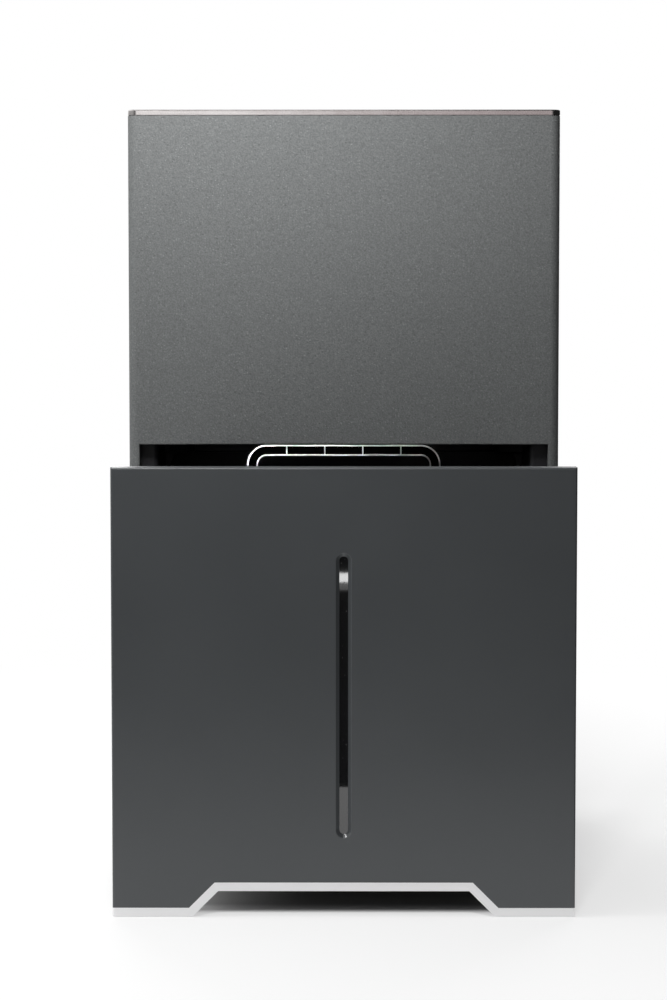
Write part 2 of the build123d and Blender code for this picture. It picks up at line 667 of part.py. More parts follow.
# Gear motor: ribbed can with a stepped end cap
MOTOR_Z = 583.0
CAN_R = 27.0
CAN_CHAMFER = 5.0
CAN_FINS = 16
FIN_W = 2.4
FIN_END = 14.0
CAP_R = 12.0
CAP_H = 6.0
with BuildPart() as gear_motor:
    with BuildSketch(floor_plane(MOTOR_Z, 0, MOTOR_D)):
        Circle(CAN_R)
    extrude(amount=GEARBOX_Z - MOTOR_Z)
    chamfer(gear_motor.edges().sort_by(Axis.Z)[0], length=CAN_CHAMFER)
    with BuildSketch(floor_plane(MOTOR_Z, 0, MOTOR_D)):
        Circle(CAP_R)
    extrude(amount=-CAP_H)
    with BuildSketch(floor_plane(MOTOR_Z + FIN_END, 0, MOTOR_D)):
        with PolarLocations(CAN_R, CAN_FINS):
            Rectangle(2 * (MOTOR_R - CAN_R), FIN_W)
    extrude(amount=GEARBOX_Z - MOTOR_Z - 2 * FIN_END)
save(gear_motor, "gear_motor")

# Motor capacitor in its clip on the chamber back
CAPACITOR_X = -112.0
CAPACITOR_Z = 618.0
CAPACITOR_R = 19.0
CAPACITOR_H = 76.0
CAPACITOR_CHAMFER = 2.0
CAPACITOR_GAP = 4.0
CLIP = (54.0, 30.0)
CLIP_R = 4.0
CLIP_TAPER = 8.0
with BuildPart() as motor_capacitor:
    with BuildSketch(floor_plane(CAPACITOR_Z, CAPACITOR_X, BACK_REAR_D + CAPACITOR_GAP + CAPACITOR_R)):
        Circle(CAPACITOR_R)
    extrude(amount=CAPACITOR_H)
    chamfer(motor_capacitor.edges().filter_by(GeomType.CIRCLE), length=CAPACITOR_CHAMFER)
    with BuildSketch(rear_plane(BACK_REAR_D)):
        with Locations((-CAPACITOR_X, CAPACITOR_Z + CAPACITOR_H / 2)):
            RectangleRounded(*CLIP, CLIP_R)
    extrude(amount=CAPACITOR_R / 2 + CAPACITOR_GAP, taper=CLIP_TAPER)
save(motor_capacitor, "motor_capacitor")

# Control box on the chamber back: moulded case with a stepped lid
CASE_X = 112.0
CASE_Z = 558.0
CASE_SIZE = (120.0, 84.0)
CASE_R = 6.0
CASE_DEEP = 26.0
CASE_TAPER = 2.0
LID_MARGIN = 8.0
LID_H = 4.0
LID_TAPER = 30.0
with BuildPart() as control_box:
    with BuildSketch(rear_plane(BACK_REAR_D)):
        with Locations((-CASE_X, CASE_Z)):
            RectangleRounded(*CASE_SIZE, CASE_R)
    extrude(amount=CASE_DEEP, taper=CASE_TAPER)
    with BuildSketch(rear_plane(BACK_REAR_D + CASE_DEEP)):
        with Locations((-CASE_X, CASE_Z)):
            RectangleRounded(*[size - 2 * LID_MARGIN for size in CASE_SIZE], CASE_R)
    extrude(amount=LID_H, taper=LID_TAPER)
save(control_box, "control_box")

# Limit switches of the ram, on the right side frame
LIMIT_SIZE = (14.0, 20.0, 16.0)
LIMIT_D = 183.0
LIMIT_R = 2.0
LIMIT_LEVER = (10.0, 3.0, 2.5)
for limit_name, limit_z in (("upper_limit_switch", 702.0), ("lower_limit_switch", 442.0)):
    with BuildPart() as limit_switch:
        with BuildSketch(floor_plane(limit_z, FRAME_INNER - LIMIT_SIZE[0] / 2, LIMIT_D)):
            RectangleRounded(LIMIT_SIZE[0], LIMIT_SIZE[1], LIMIT_R)
        extrude(amount=LIMIT_SIZE[2])
        with BuildSketch(front_plane(LIMIT_D - LIMIT_SIZE[1] / 2)):
            with Locations((FRAME_INNER - LIMIT_SIZE[0] / 2, limit_z + LIMIT_SIZE[2] / 2)):
                SlotOverall(LIMIT_LEVER[0], LIMIT_LEVER[1])
        extrude(amount=LIMIT_LEVER[2])
    save(limit_switch, limit_name)

# Reed sensor of the drawer interlock on the left side frame, and its magnet on the carriage
MAGNET_D = 20.0
MAGNET_Z = 150.0
MAGNET = (22.0, 12.0, 2.4)
MAGNET_R = 2.0
REED = (34.0, 14.0, 8.5)
REED_TAPER = 6.0
with BuildPart() as reed_sensor:
    with BuildSketch(side_plane(-FRAME_INNER)):
        with Locations((depth(MAGNET_D + DRAWER_OUT), MAGNET_Z)):
            SlotOverall(REED[0], REED[1])
    extrude(amount=REED[2], taper=REED_TAPER)
save(reed_sensor, "reed_sensor")

with BuildPart() as interlock_magnet:
    with BuildSketch(side_plane(-CARRIAGE_HALF)):
        with Locations((depth(MAGNET_D), MAGNET_Z)):
            RectangleRounded(MAGNET[0], MAGNET[1], MAGNET_R)
    extrude(amount=-MAGNET[2])
save(interlock_magnet, "interlock_magnet")

# Ram shell: rounded box, open below, with pressed upright beads
RAM_BEAD = (190.0, 18.0, 1.6)
RAM_BEAD_PITCH = 80.0
with BuildPart() as ram_shell:
    with BuildSketch(floor_plane(RAM_Z, 0, PRESS_D)):
        RectangleRounded(RAM_W, RAM_D, RAM_R)
    extrude(amount=RAM_TOP_Z - RAM_Z)
    offset(amount=-RAM_SHEET, openings=ram_shell.faces().sort_by(Axis.Z)[0])
    for bead_plane in (front_plane(PRESS_D - RAM_D / 2), rear_plane(PRESS_D + RAM_D / 2)):
        with BuildSketch(bead_plane):
            with Locations((0, (RAM_Z + RAM_TOP_Z) / 2)):
                with GridLocations(RAM_BEAD_PITCH, 1, 3, 1):
                    SlotOverall(RAM_BEAD[0], RAM_BEAD[1], rotation=90)
        extrude(amount=RAM_BEAD[2], taper=PRESS_TAPER)
save(ram_shell, "ram_shell")

# Press plate: chamfered plate with a waffle of truncated studs underneath, parted by grooves
STUD_COUNT = (8, 5)
STUD_TAPER = 40.0
GROOVE_W = 10.0
PLATE_CHAMFER = 3.0
SPIGOT_GAP = 0.5
SPIGOT_T = 3.0
SPIGOT_H = 10.0
with BuildPart() as press_plate:
    with BuildSketch(floor_plane(RAM_Z, 0, PRESS_D)):
        RectangleRounded(RAM_W, RAM_D, RAM_R)
    extrude(amount=-PLATE_T)
    chamfer(press_plate.faces().sort_by(Axis.Z)[0].edges(), length=PLATE_CHAMFER)
    with BuildSketch(Plane(origin=(0, depth(PRESS_D), RAM_Z - PLATE_T), z_dir=(0, 0, -1))):
        Rectangle(STUD_COUNT[0] * STUD_PITCH - GROOVE_W, STUD_COUNT[1] * STUD_PITCH - GROOVE_W)
    extrude(amount=STUD_H, taper=STUD_TAPER)
    groove_mouth = GROOVE_W + 2 * STUD_H * tan(radians(STUD_TAPER))
    with BuildSketch(front_plane(PRESS_D + RAM_D / 2)):
        with Locations((0, RAM_Z - PLATE_T - STUD_H)):
            with GridLocations(STUD_PITCH, 1, STUD_COUNT[0] - 1, 1):
                Trapezoid(groove_mouth, STUD_H, 90 - STUD_TAPER, align=(Align.CENTER, Align.MIN))
    extrude(amount=RAM_D, mode=Mode.SUBTRACT)
    with BuildSketch(side_plane(-RAM_W / 2)):
        with Locations((depth(PRESS_D), RAM_Z - PLATE_T - STUD_H)):
            with GridLocations(STUD_PITCH, 1, STUD_COUNT[1] - 1, 1):
                Trapezoid(groove_mouth, STUD_H, 90 - STUD_TAPER, align=(Align.CENTER, Align.MIN))
    extrude(amount=RAM_W, mode=Mode.SUBTRACT)
    spigot_inset = RAM_SHEET + SPIGOT_GAP
    with BuildSketch(floor_plane(RAM_Z, 0, PRESS_D)):
        RectangleRounded(RAM_W - 2 * spigot_inset, RAM_D - 2 * spigot_inset, RAM_R - RAM_SHEET)
        offset(amount=-SPIGOT_T, mode=Mode.SUBTRACT)
    extrude(amount=SPIGOT_H)
save(press_plate, "press_plate")

# Crosshead: inverted channel on the ram, with holes for the lead screws
CROSSHEAD_T = 3.0
with BuildPart() as crosshead:
    with BuildSketch(side_plane(-CROSSHEAD_HALF)):
        with BuildLine():
            FilletPolyline(
                (depth(PRESS_D) - (CROSSHEAD_W - CROSSHEAD_T) / 2, RAM_TOP_Z),
                (depth(PRESS_D) - (CROSSHEAD_W - CROSSHEAD_T) / 2, CROSSHEAD_TOP_Z - CROSSHEAD_T / 2),
                (depth(PRESS_D) + (CROSSHEAD_W - CROSSHEAD_T) / 2, CROSSHEAD_TOP_Z - CROSSHEAD_T / 2),
                (depth(PRESS_D) + (CROSSHEAD_W - CROSSHEAD_T) / 2, RAM_TOP_Z),
                radius=FRAME_BEND_R,
            )
        trace(line_width=CROSSHEAD_T)
    extrude(amount=2 * CROSSHEAD_HALF)
    with BuildSketch(floor_plane(CROSSHEAD_TOP_Z, 0, PRESS_D)):
        with Locations((-SCREW_X, 0), (SCREW_X, 0)):
            Circle(SCREW_R + FREE_GAP)
    extrude(amount=-2 * CROSSHEAD_T, mode=Mode.SUBTRACT)
save(crosshead, "crosshead")

# Flanged screw nuts under the crosshead's web
NUT_R = 12.5
NUT_FLANGE = (15.0, 4.0)
NUT_Z = 701.0
for side, side_name in ((-1, "left"), (1, "right")):
    nut_top_z = CROSSHEAD_TOP_Z - CROSSHEAD_T
    with BuildPart() as screw_nut:
        with BuildSketch(floor_plane(NUT_Z, side * SCREW_X, PRESS_D)):
            RegularPolygon(NUT_R, 6, rotation=30)
        extrude(amount=nut_top_z - NUT_Z)
        with BuildSketch(floor_plane(nut_top_z, side * SCREW_X, PRESS_D)):
            Circle(NUT_FLANGE[0])
        extrude(amount=-NUT_FLANGE[1])
        with BuildSketch(floor_plane(NUT_Z, side * SCREW_X, PRESS_D)):
            Circle(SCREW_R + RUNNING_GAP)
        extrude(amount=nut_top_z - NUT_Z, mode=Mode.SUBTRACT)
    save(screw_nut, f"screw_nut_{side_name}")

# Guide shoes on the crosshead's ends, which run along the side frames
SHOE = (40.0, 18.0)
SHOE_R = 4.0
SHOE_GAP = 0.4
with BuildPart() as guide_shoes:
    for side in (-1, 1):
        with BuildSketch(side_plane(side * CROSSHEAD_HALF)):
            with Locations((depth(PRESS_D), (RAM_TOP_Z + CROSSHEAD_TOP_Z) / 2)):
                RectangleRounded(*SHOE, SHOE_R)
        extrude(amount=side * (FRAME_INNER - SHOE_GAP - CROSSHEAD_HALF))
save(guide_shoes, "guide_shoes")

# Drawer slides: three nested channel rails on each side
RAIL_BEND_R = 2.5
RAIL_OUTER = ((177.6, 185.9), 21.8)
RAIL_MIDDLE = ((175.9, 184.1), 19.9)
RAIL_INNER = ((182.6, 174.6), 18.0)
RAILS = (
    ("slide_outer", RAIL_OUTER, 0.0),
    ("slide_middle", RAIL_MIDDLE, DRAWER_OUT / 2),
    ("slide_inner", RAIL_INNER, DRAWER_OUT),
)
for side, side_name in ((-1, "left"), (1, "right")):
    for rail_name, ((lip_x, web_x), half_h), drawn in RAILS:
        with BuildPart() as rail:
            with BuildSketch(rear_plane(SLIDE_D[0] - drawn)):
                with BuildLine():
                    FilletPolyline(
                        (-side * lip_x, SLIDE_Z + half_h),
                        (-side * web_x, SLIDE_Z + half_h),
                        (-side * web_x, SLIDE_Z - half_h),
                        (-side * lip_x, SLIDE_Z - half_h),
                        radius=RAIL_BEND_R,
                    )
                trace(line_width=SLIDE_T)
            extrude(amount=SLIDE_D[1] - SLIDE_D[0])
        save(rail, f"{rail_name}_{side_name}")


def bottom_edge(rise):
    """Points along the drawer front's bottom edge, left to right, raised square to the edge."""
    spread = rise * tan(radians(22.5))
    foot = FOOT_INNER + spread
    arch = FOOT_INNER - ARCH_RISE + spread
    low = PANEL_Z + rise
    high = PANEL_Z + ARCH_RISE + rise
    edge = BODY_W / 2
    return [(-edge, low), (-foot, low), (-arch, high), (arch, high), (foot, low), (edge, low)]


def panel_outline():
    """Corners of the drawer front above its trim."""
    return [*bottom_edge(TRIM_T), (BODY_W / 2, PANEL_TOP_Z), (-BODY_W / 2, PANEL_TOP_Z)]


# Drawer front: pan-shaped skin with a bevelled slot
SLOT_L = SLOT_Z[1] - SLOT_Z[0]
SLOT_MID_Z = (SLOT_Z[0] + SLOT_Z[1]) / 2
SLOT_BOSS = 3.0
SLOT_TAPER = 45.0
with BuildPart() as drawer_front:
    with BuildSketch(front_plane(PANEL_BACK_D)):
        with BuildLine():
            Polyline(*panel_outline(), close=True)
        make_face()
    extrude(amount=PANEL_T)
    face_edges = drawer_front.faces().sort_by(Axis.Y)[0].edges()
    fillet(face_edges.filter_by(Axis.Z) + face_edges.sort_by(Axis.Z)[-1], radius=PANEL_EDGE_R)
    with BuildSketch(front_plane(PANEL_BACK_D)):
        with BuildLine():
            Polyline(*panel_outline(), close=True)
        make_face()
        offset(amount=-PANEL_SKIN, kind=Kind.INTERSECTION)
    extrude(amount=PANEL_T - PANEL_SKIN, mode=Mode.SUBTRACT)
    with BuildSketch(front_plane(PANEL_FRONT_D + PANEL_SKIN)):
        with Locations((0, SLOT_MID_Z)):
            SlotOverall(SLOT_L + 2 * SLOT_BOSS, SLOT_W + 2 * SLOT_BOSS, rotation=90)
    extrude(amount=-(SLOT_BEVEL + STRIP_T))
    with BuildSketch(front_plane(PANEL_FRONT_D)):
        with Locations((0, SLOT_MID_Z)):
            SlotOverall(SLOT_L, SLOT_W, rotation=90)
    extrude(amount=-SLOT_BEVEL, taper=SLOT_TAPER, mode=Mode.SUBTRACT)
    with BuildSketch(front_plane(PANEL_FRONT_D + SLOT_BEVEL)):
        with Locations((0, SLOT_MID_Z)):
            SlotOverall(SLOT_L - 2 * SLOT_BEVEL, SLOT_W - 2 * SLOT_BEVEL, rotation=90)
    extrude(amount=-STRIP_T, mode=Mode.SUBTRACT)
save(drawer_front, "drawer_front")

# Window strip: glossy insert at the bottom of the slot
with BuildPart() as window_strip:
    with BuildSketch(front_plane(PANEL_FRONT_D + SLOT_BEVEL + STRIP_T)):
        with Locations((0, SLOT_MID_Z)):
            SlotOverall(SLOT_L - 2 * SLOT_BEVEL, SLOT_W - 2 * SLOT_BEVEL, rotation=90)
    extrude(amount=STRIP_T)
save(window_strip, "window_strip")

# Front trim: satin strip mitred along the feet, slopes and arch
with BuildPart() as front_trim:
    with BuildSketch(front_plane(PANEL_BACK_D)):
        with BuildLine():
            Polyline(*bottom_edge(0), *reversed(bottom_edge(TRIM_T)), close=True)
        make_face()
    extrude(amount=PANEL_T)
    end_edges = front_trim.faces().sort_by(Axis.Y)[0].edges().filter_by(Axis.Z)
    fillet(end_edges, radius=PANEL_EDGE_R)
save(front_trim, "front_trim")

# Inner liner of the drawer front, ribbed towards the skin
LINER_T = 3.0
LINER_GAP = 0.3
LINER_RIB_X = (-170.0, -100.0, -40.0, 40.0, 100.0, 170.0)
LINER_RIB_T = 2.0
LINER_RIB_Z = (56.0, 405.0)
with BuildPart() as front_liner:
    with BuildSketch(front_plane(PANEL_BACK_D)):
        with BuildLine():
            Polyline(*panel_outline(), close=True)
        make_face()
        offset(amount=-PANEL_SKIN - LINER_GAP, kind=Kind.INTERSECTION)
    extrude(amount=LINER_T)
    with BuildSketch(front_plane(PANEL_BACK_D - LINER_T)):
        with Locations(*[(x, sum(LINER_RIB_Z) / 2) for x in LINER_RIB_X]):
            Rectangle(LINER_RIB_T, LINER_RIB_Z[1] - LINER_RIB_Z[0])
    extrude(amount=PANEL_T - PANEL_SKIN - LINER_T)
save(front_liner, "front_liner")

# Odour filter cassette on the liner, with louvres
FILTER = (120.0, 62.0, 20.0)
FILTER_Z = 348.0
FILTER_R = 7.0
FILTER_TAPER = 4.0
FILTER_SLOT = (90.0, 4.0, 8.0)
FILTER_SLOTS = 5
FILTER_PITCH = 9.0
with BuildPart() as odour_filter:
    with BuildSketch(rear_plane(PANEL_BACK_D)):
        with Locations((0, FILTER_Z)):
            RectangleRounded(FILTER[0], FILTER[1], FILTER_R)
    extrude(amount=FILTER[2], taper=FILTER_TAPER)
    with BuildSketch(rear_plane(PANEL_BACK_D + FILTER[2])):
        with Locations((0, FILTER_Z)):
            with GridLocations(0, FILTER_PITCH, 1, FILTER_SLOTS):
                Rectangle(FILTER_SLOT[0], FILTER_SLOT[1])
    extrude(amount=-FILTER_SLOT[2], mode=Mode.SUBTRACT)
save(odour_filter, "odour_filter")

# Carriage: folded tray between the slides, holed in the floor
CARRIAGE_REAR_Z = 64.0
CARRIAGE_HOLE = (70.0, 50.0)
CARRIAGE_HOLE_R = 12.0
CARRIAGE_HOLE_PITCH = (100.0, 90.0)
carriage_mid_d = (PANEL_BACK_D + CARRIAGE_END) / 2
with BuildPart() as carriage:
    with BuildSketch(floor_plane(CARRIAGE_Z[0], 0, carriage_mid_d)):
        Rectangle(2 * CARRIAGE_HALF, CARRIAGE_END - PANEL_BACK_D)
    extrude(amount=CARRIAGE_Z[1] - CARRIAGE_Z[0])
    offset(amount=-CARRIAGE_T, openings=carriage.faces().sort_by(Axis.Z)[-1])
    with BuildSketch(rear_plane(CARRIAGE_END - 2 * CARRIAGE_T)):
        with Locations((0, CARRIAGE_REAR_Z)):
            Rectangle(2 * (CARRIAGE_HALF - CARRIAGE_T), CARRIAGE_Z[1], align=(Align.CENTER, Align.MIN))
    extrude(amount=3 * CARRIAGE_T, mode=Mode.SUBTRACT)
    with BuildSketch(floor_plane(CARRIAGE_Z[0], 0, carriage_mid_d)):
        with GridLocations(*CARRIAGE_HOLE_PITCH, 3, 2):
            RectangleRounded(*CARRIAGE_HOLE, CARRIAGE_HOLE_R)
    extrude(amount=CARRIAGE_T, mode=Mode.SUBTRACT)
save(carriage, "carriage")

# Bin: drafted tub with a rolled rim and lugs for the handle
BIN_Z = CARRIAGE_Z[0] + CARRIAGE_T
BIN_DEEP = BIN_D[1] - BIN_D[0]
BIN_MID_D = (BIN_D[0] + BIN_D[1]) / 2
BIN_R = 22.0
BIN_INSET = BIN_DRAFT + BIN_WALL
BIN_SLOPE = degrees(atan(BIN_DRAFT / (BIN_TOP_Z - BIN_Z)))
LEG_X = (HANDLE_W - HANDLE_BAND) / 2
LUG_T = 6.0
LUG_GAP = 0.5
LUG_R = 6.5
LUG_ROOT = (1.5, 16.0)
LUG_ROOT_D = BIN_D[1] - 1.0
LUG_ROOT_Z = PIVOT_Z - 4.0
with BuildPart() as bin_tub:
    with BuildSketch(floor_plane(BIN_Z, 0, BIN_MID_D)):
        RectangleRounded(BIN_W - 2 * BIN_DRAFT, BIN_DEEP - 2 * BIN_DRAFT, BIN_R - BIN_DRAFT)
    extrude(amount=BIN_TOP_Z - BIN_Z, taper=-BIN_SLOPE)
    with BuildSketch(floor_plane(BIN_Z + BIN_WALL, 0, BIN_MID_D)):
        RectangleRounded(BIN_W - 2 * BIN_INSET, BIN_DEEP - 2 * BIN_INSET, BIN_R - BIN_INSET)
    extrude(amount=BIN_TOP_Z - BIN_Z - BIN_WALL, taper=-BIN_SLOPE, mode=Mode.SUBTRACT)
    with BuildSketch(floor_plane(BIN_TOP_Z, 0, BIN_MID_D)):
        RectangleRounded(BIN_W + 2 * BIN_RIM[0], BIN_DEEP + 2 * BIN_RIM[0], BIN_R + BIN_RIM[0])
        RectangleRounded(BIN_W - BIN_WALL, BIN_DEEP - BIN_WALL, BIN_R - BIN_WALL / 2, mode=Mode.SUBTRACT)
    extrude(amount=-BIN_RIM[1])
    for side in (-1, 1):
        lug_x = side * (LEG_X - HANDLE_BAND / 2 - LUG_GAP)
        with BuildSketch(side_plane(lug_x)):
            with Locations((depth(HANDLE_D), PIVOT_Z)):
                Circle(LUG_R)
            with Locations((depth(LUG_ROOT_D), LUG_ROOT_Z)):
                Rectangle(*LUG_ROOT)
            make_hull()
            with Locations((depth(HANDLE_D), PIVOT_Z)):
                Circle(PIN_R, mode=Mode.SUBTRACT)
        extrude(amount=-side * LUG_T)
save(bin_tub, "bin_tub")

# Pivot pins pressed into the lugs
PIN_HEAD = (4.2, 1.6)
with BuildPart() as handle_pins:
    for side in (-1, 1):
        pin_start = side * (LEG_X - HANDLE_BAND / 2 - LUG_GAP - LUG_T)
        with BuildSketch(side_plane(pin_start)):
            with Locations((depth(HANDLE_D), PIVOT_Z)):
                Circle(PIN_R)
        extrude(amount=side * (LUG_T + 2 * LUG_GAP + HANDLE_BAND))
        head_start = side * (LEG_X + HANDLE_BAND / 2 + LUG_GAP)
        with BuildSketch(side_plane(head_start)):
            with Locations((depth(HANDLE_D), PIVOT_Z)):
                Circle(PIN_HEAD[0])
        extrude(amount=side * PIN_HEAD[1])
save(handle_pins, "handle_pins")

# Bail handle: arched band, hollowed from the front, with ties across the hollow
HANDLE_FRONT_D = HANDLE_D - HANDLE_T / 2
HANDLE_MID_Z = HANDLE_TOP_Z - HANDLE_BAND / 2
HOLLOW_T = 6.0
HOLLOW_START_Z = PIVOT_Z + 9.0


def handle_arch(start_z):
    """Centre line of the handle from one leg over the top to the other."""
    return [(-LEG_X, start_z), (-LEG_X, HANDLE_MID_Z), (LEG_X, HANDLE_MID_Z), (LEG_X, start_z)]


with BuildPart() as bail_handle:
    with BuildSketch(front_plane(HANDLE_D + HANDLE_T / 2)):
        with BuildLine():
            FilletPolyline(*handle_arch(PIVOT_Z), radius=HANDLE_CORNER_R)
        trace(line_width=HANDLE_BAND)
    extrude(amount=HANDLE_T)
    with BuildSketch(front_plane(HANDLE_FRONT_D)):
        with BuildLine():
            FilletPolyline(*handle_arch(HOLLOW_START_Z), radius=HANDLE_CORNER_R)
        trace(line_width=HANDLE_BAND - 2 * HANDLE_RIM)
        with Locations(*[(x, HANDLE_MID_Z) for x in HANDLE_TIES]):
            Rectangle(TIE_T, HANDLE_BAND, mode=Mode.SUBTRACT)
    extrude(amount=-HOLLOW_T, mode=Mode.SUBTRACT)
    for side in (-1, 1):
        with BuildSketch(side_plane(side * (LEG_X - HANDLE_BAND / 2))):
            with Locations((depth(HANDLE_D), PIVOT_Z)):
                Circle(HANDLE_T / 2)
        extrude(amount=side * HANDLE_BAND)
        with BuildSketch(side_plane(side * (LEG_X - HANDLE_BAND / 2))):
            with Locations((depth(HANDLE_D), PIVOT_Z)):
                Circle(PIN_R + RUNNING_GAP)
        extrude(amount=side * HANDLE_BAND, mode=Mode.SUBTRACT)
save(bail_handle, "bail_handle")
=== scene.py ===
import json
import math
from typing import NamedTuple

import bpy
from mathutils import Matrix, Vector


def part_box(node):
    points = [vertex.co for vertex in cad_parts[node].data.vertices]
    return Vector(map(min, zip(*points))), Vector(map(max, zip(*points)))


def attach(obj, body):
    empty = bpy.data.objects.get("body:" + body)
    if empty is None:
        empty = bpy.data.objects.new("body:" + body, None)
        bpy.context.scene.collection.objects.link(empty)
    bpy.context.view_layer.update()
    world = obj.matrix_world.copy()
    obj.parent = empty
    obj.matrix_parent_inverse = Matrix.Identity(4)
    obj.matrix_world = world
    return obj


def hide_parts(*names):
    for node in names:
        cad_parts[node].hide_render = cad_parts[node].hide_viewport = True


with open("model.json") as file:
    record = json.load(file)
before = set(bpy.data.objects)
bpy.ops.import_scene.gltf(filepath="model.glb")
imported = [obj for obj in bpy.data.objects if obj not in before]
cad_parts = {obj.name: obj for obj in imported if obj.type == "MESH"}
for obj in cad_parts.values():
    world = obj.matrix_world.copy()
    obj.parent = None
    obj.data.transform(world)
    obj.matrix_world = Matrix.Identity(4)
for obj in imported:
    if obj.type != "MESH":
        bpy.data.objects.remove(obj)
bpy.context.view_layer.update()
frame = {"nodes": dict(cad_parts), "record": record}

# Camera at the photograph's viewing angle
CAMERA_PLACE = (0.0, -2.837, 0.5687)
CAMERA_DOWN_DEG = 4.03
CAMERA_LEFT_DEG = 0.213
LENS_MM = 100.0
SENSOR_MM = 36.0

# Where a finish changes within a piece, in metres, including where painted shade begins behind the trim's
# face and in the handle's recess
EDGE_BLEND = 0.0005
SLOT_RIM = 0.004
SLOT_WALL_DEPTH = 0.0008
TRIM_FACE = 0.0022
TRIM_BLEND = 0.001
HANDLE_RIM = (0.0004, 0.0012)

# White paper under the object, in metres
FLOOR_HALF_WIDTH = 3.0
FLOOR_FRONT_Y = -0.98
FLOOR_BACK_Y = 3.0
FOOTPRINT_HALF = (0.215, 0.286)

# Its shades, among them a shadow painted under the object, and where they change, in metres outside the
# footprint
PAPER_SHADE = (246, 246, 246)
PAINTED_SHADOW_TONE = (176, 176, 176)
PAINTED_SHADOW_EDGE = (-0.035, -0.06)
PAPER_GLOW = 0.57
GLOW_EDGE = (-0.036, -0.012)
FAR_EDGE = (0.55, 1.2)

# Its right side, which throws little light back at the object
DARK_SIDE_X = (0.26, 0.6)
DARK_SIDE = 0.85

# Room around it: edges by the parts of the direction that is looked in, and brightness
ROOM_ABOVE = (-0.02, 0.2)
ROOM_LEVEL = 0.035
LEFT_EDGE = (0.2, -0.6)
LEFT_LEVEL = 0.13
CARD_EDGE = (-0.4, -0.75)
CARD_LEVEL = 1.0
BACKDROP_DEPTH = (0.55, 0.85)
BACKDROP_EDGE = (0.3, 0.02)
BACKDROP_LEVEL = 0.9
NEAR_DEPTH = (-0.9, -0.98)
NEAR_FOOT = (0.0, 0.03)
NEAR_HEAD = (0.3, 0.12)
NEAR_TURN = (-0.09, 0.07)
NEAR_LEFT = (0.38, 0.37, 0.37, 1.0)
NEAR_RIGHT = (0.24, 0.21, 0.215, 1.0)
WHITE = (1.0, 1.0, 1.0, 1.0)
BLACK = (0.0, 0.0, 0.0, 1.0)


class Lamp(NamedTuple):
    """A softbox: place and point faced, width and height, watts, and the piece it is for or kept off."""

    place: tuple
    target: tuple
    size: tuple
    watts: float
    spread: float = 180.0
    colour: tuple = WHITE[:3]
    only: str = ""
    keeps_off: str = ""


LAMPS = {
    "key_light": Lamp(
        (-0.25, -0.9, 1.4), (-0.15, -0.062, 0.98), (0.4, 0.4), 4.1, spread=70.0, keeps_off="top_plate"
    ),
    "overhead_light": Lamp((-0.3, -0.7, 1.9), (-0.1, -0.2, 0.3), (0.9, 0.7), 4.0),
    "handle_light": Lamp(
        (-0.36, -1.25, 0.488), (-0.07, -0.02, 0.423), (0.10, 0.06), 0.11, spread=16.0, only="bail_handle"
    ),
    "strip_light": Lamp((0.0, -1.9, 0.158), (0.0, -0.28, 0.3), (0.03, 0.014), 0.0088, only="window_strip"),
    "strip_glow": Lamp((0.0, -1.9, 0.145), (0.0, -0.28, 0.3), (0.03, 0.012), 0.0008, only="window_strip"),
    "rear_left_light": Lamp((-0.7, 2.3, 1.6), (0.0, 0.1, 0.4), (1.2, 1.0), 26.0, keeps_off="top_plate"),
    "rear_right_light": Lamp((1.1, 2.2, 1.4), (0.0, 0.1, 0.4), (1.2, 1.0), 20.0, keeps_off="top_plate"),
    "paper_front": Lamp((-0.1, -2.3, 2.1), (0.0, -0.3, 0.0), (0.4, 0.3), 40.0, only="floor"),
    "paper_left": Lamp((-1.8, -0.5, 0.9), (0.0, -0.2, 0.0), (0.8, 0.8), 17.0, only="floor"),
    "edge_light": Lamp((-0.7, -0.33, 1.6), (0.0, -0.288, 0.25), (1.0, 0.05), 8.5, only="drawer_front"),
    "brow_left": Lamp((-0.5, -3.3, 0.98), (-0.2, -0.06, 0.76), (1.0, 0.8), 2.75, only="top_plate"),
    "brow_right": Lamp(
        (0.5, -3.3, 0.98), (0.2, -0.06, 0.76), (1.0, 0.8), 0.78, colour=(1.0, 0.84, 0.85), only="top_plate"
    ),
    "slot_light": Lamp((-0.55, -0.57, 1.6), (0.0, -0.286, 0.078), (0.9, 0.25), 3.5, only="drawer_front"),
}


def srgb(red, green, blue):
    """A colour as it is seen, 0 to 255 a channel, as the linear values that a shader takes."""
    linear = []
    for channel in (red, green, blue):
        share = channel / 255.0
        linear.append(share / 12.92 if share <= 0.04045 else ((share + 0.055) / 1.055) ** 2.4)
    return (*linear, 1.0)


class Signal:
    """A shader socket that takes part in sums like a number."""

    def __init__(self, tree, socket):
        self.tree = tree
        self.socket = socket

    def sum(self, operation, first, second):
        return self.tree.node("ShaderNodeMath", {"operation": operation}, {0: first, 1: second})

    def __add__(self, other):
        return self.sum("ADD", self, other)

    def __radd__(self, other):
        return self.sum("ADD", other, self)

    def __sub__(self, other):
        return self.sum("SUBTRACT", self, other)

    def __rsub__(self, other):
        return self.sum("SUBTRACT", other, self)

    def __mul__(self, other):
        return self.sum("MULTIPLY", self, other)

    def __rmul__(self, other):
        return self.sum("MULTIPLY", other, self)


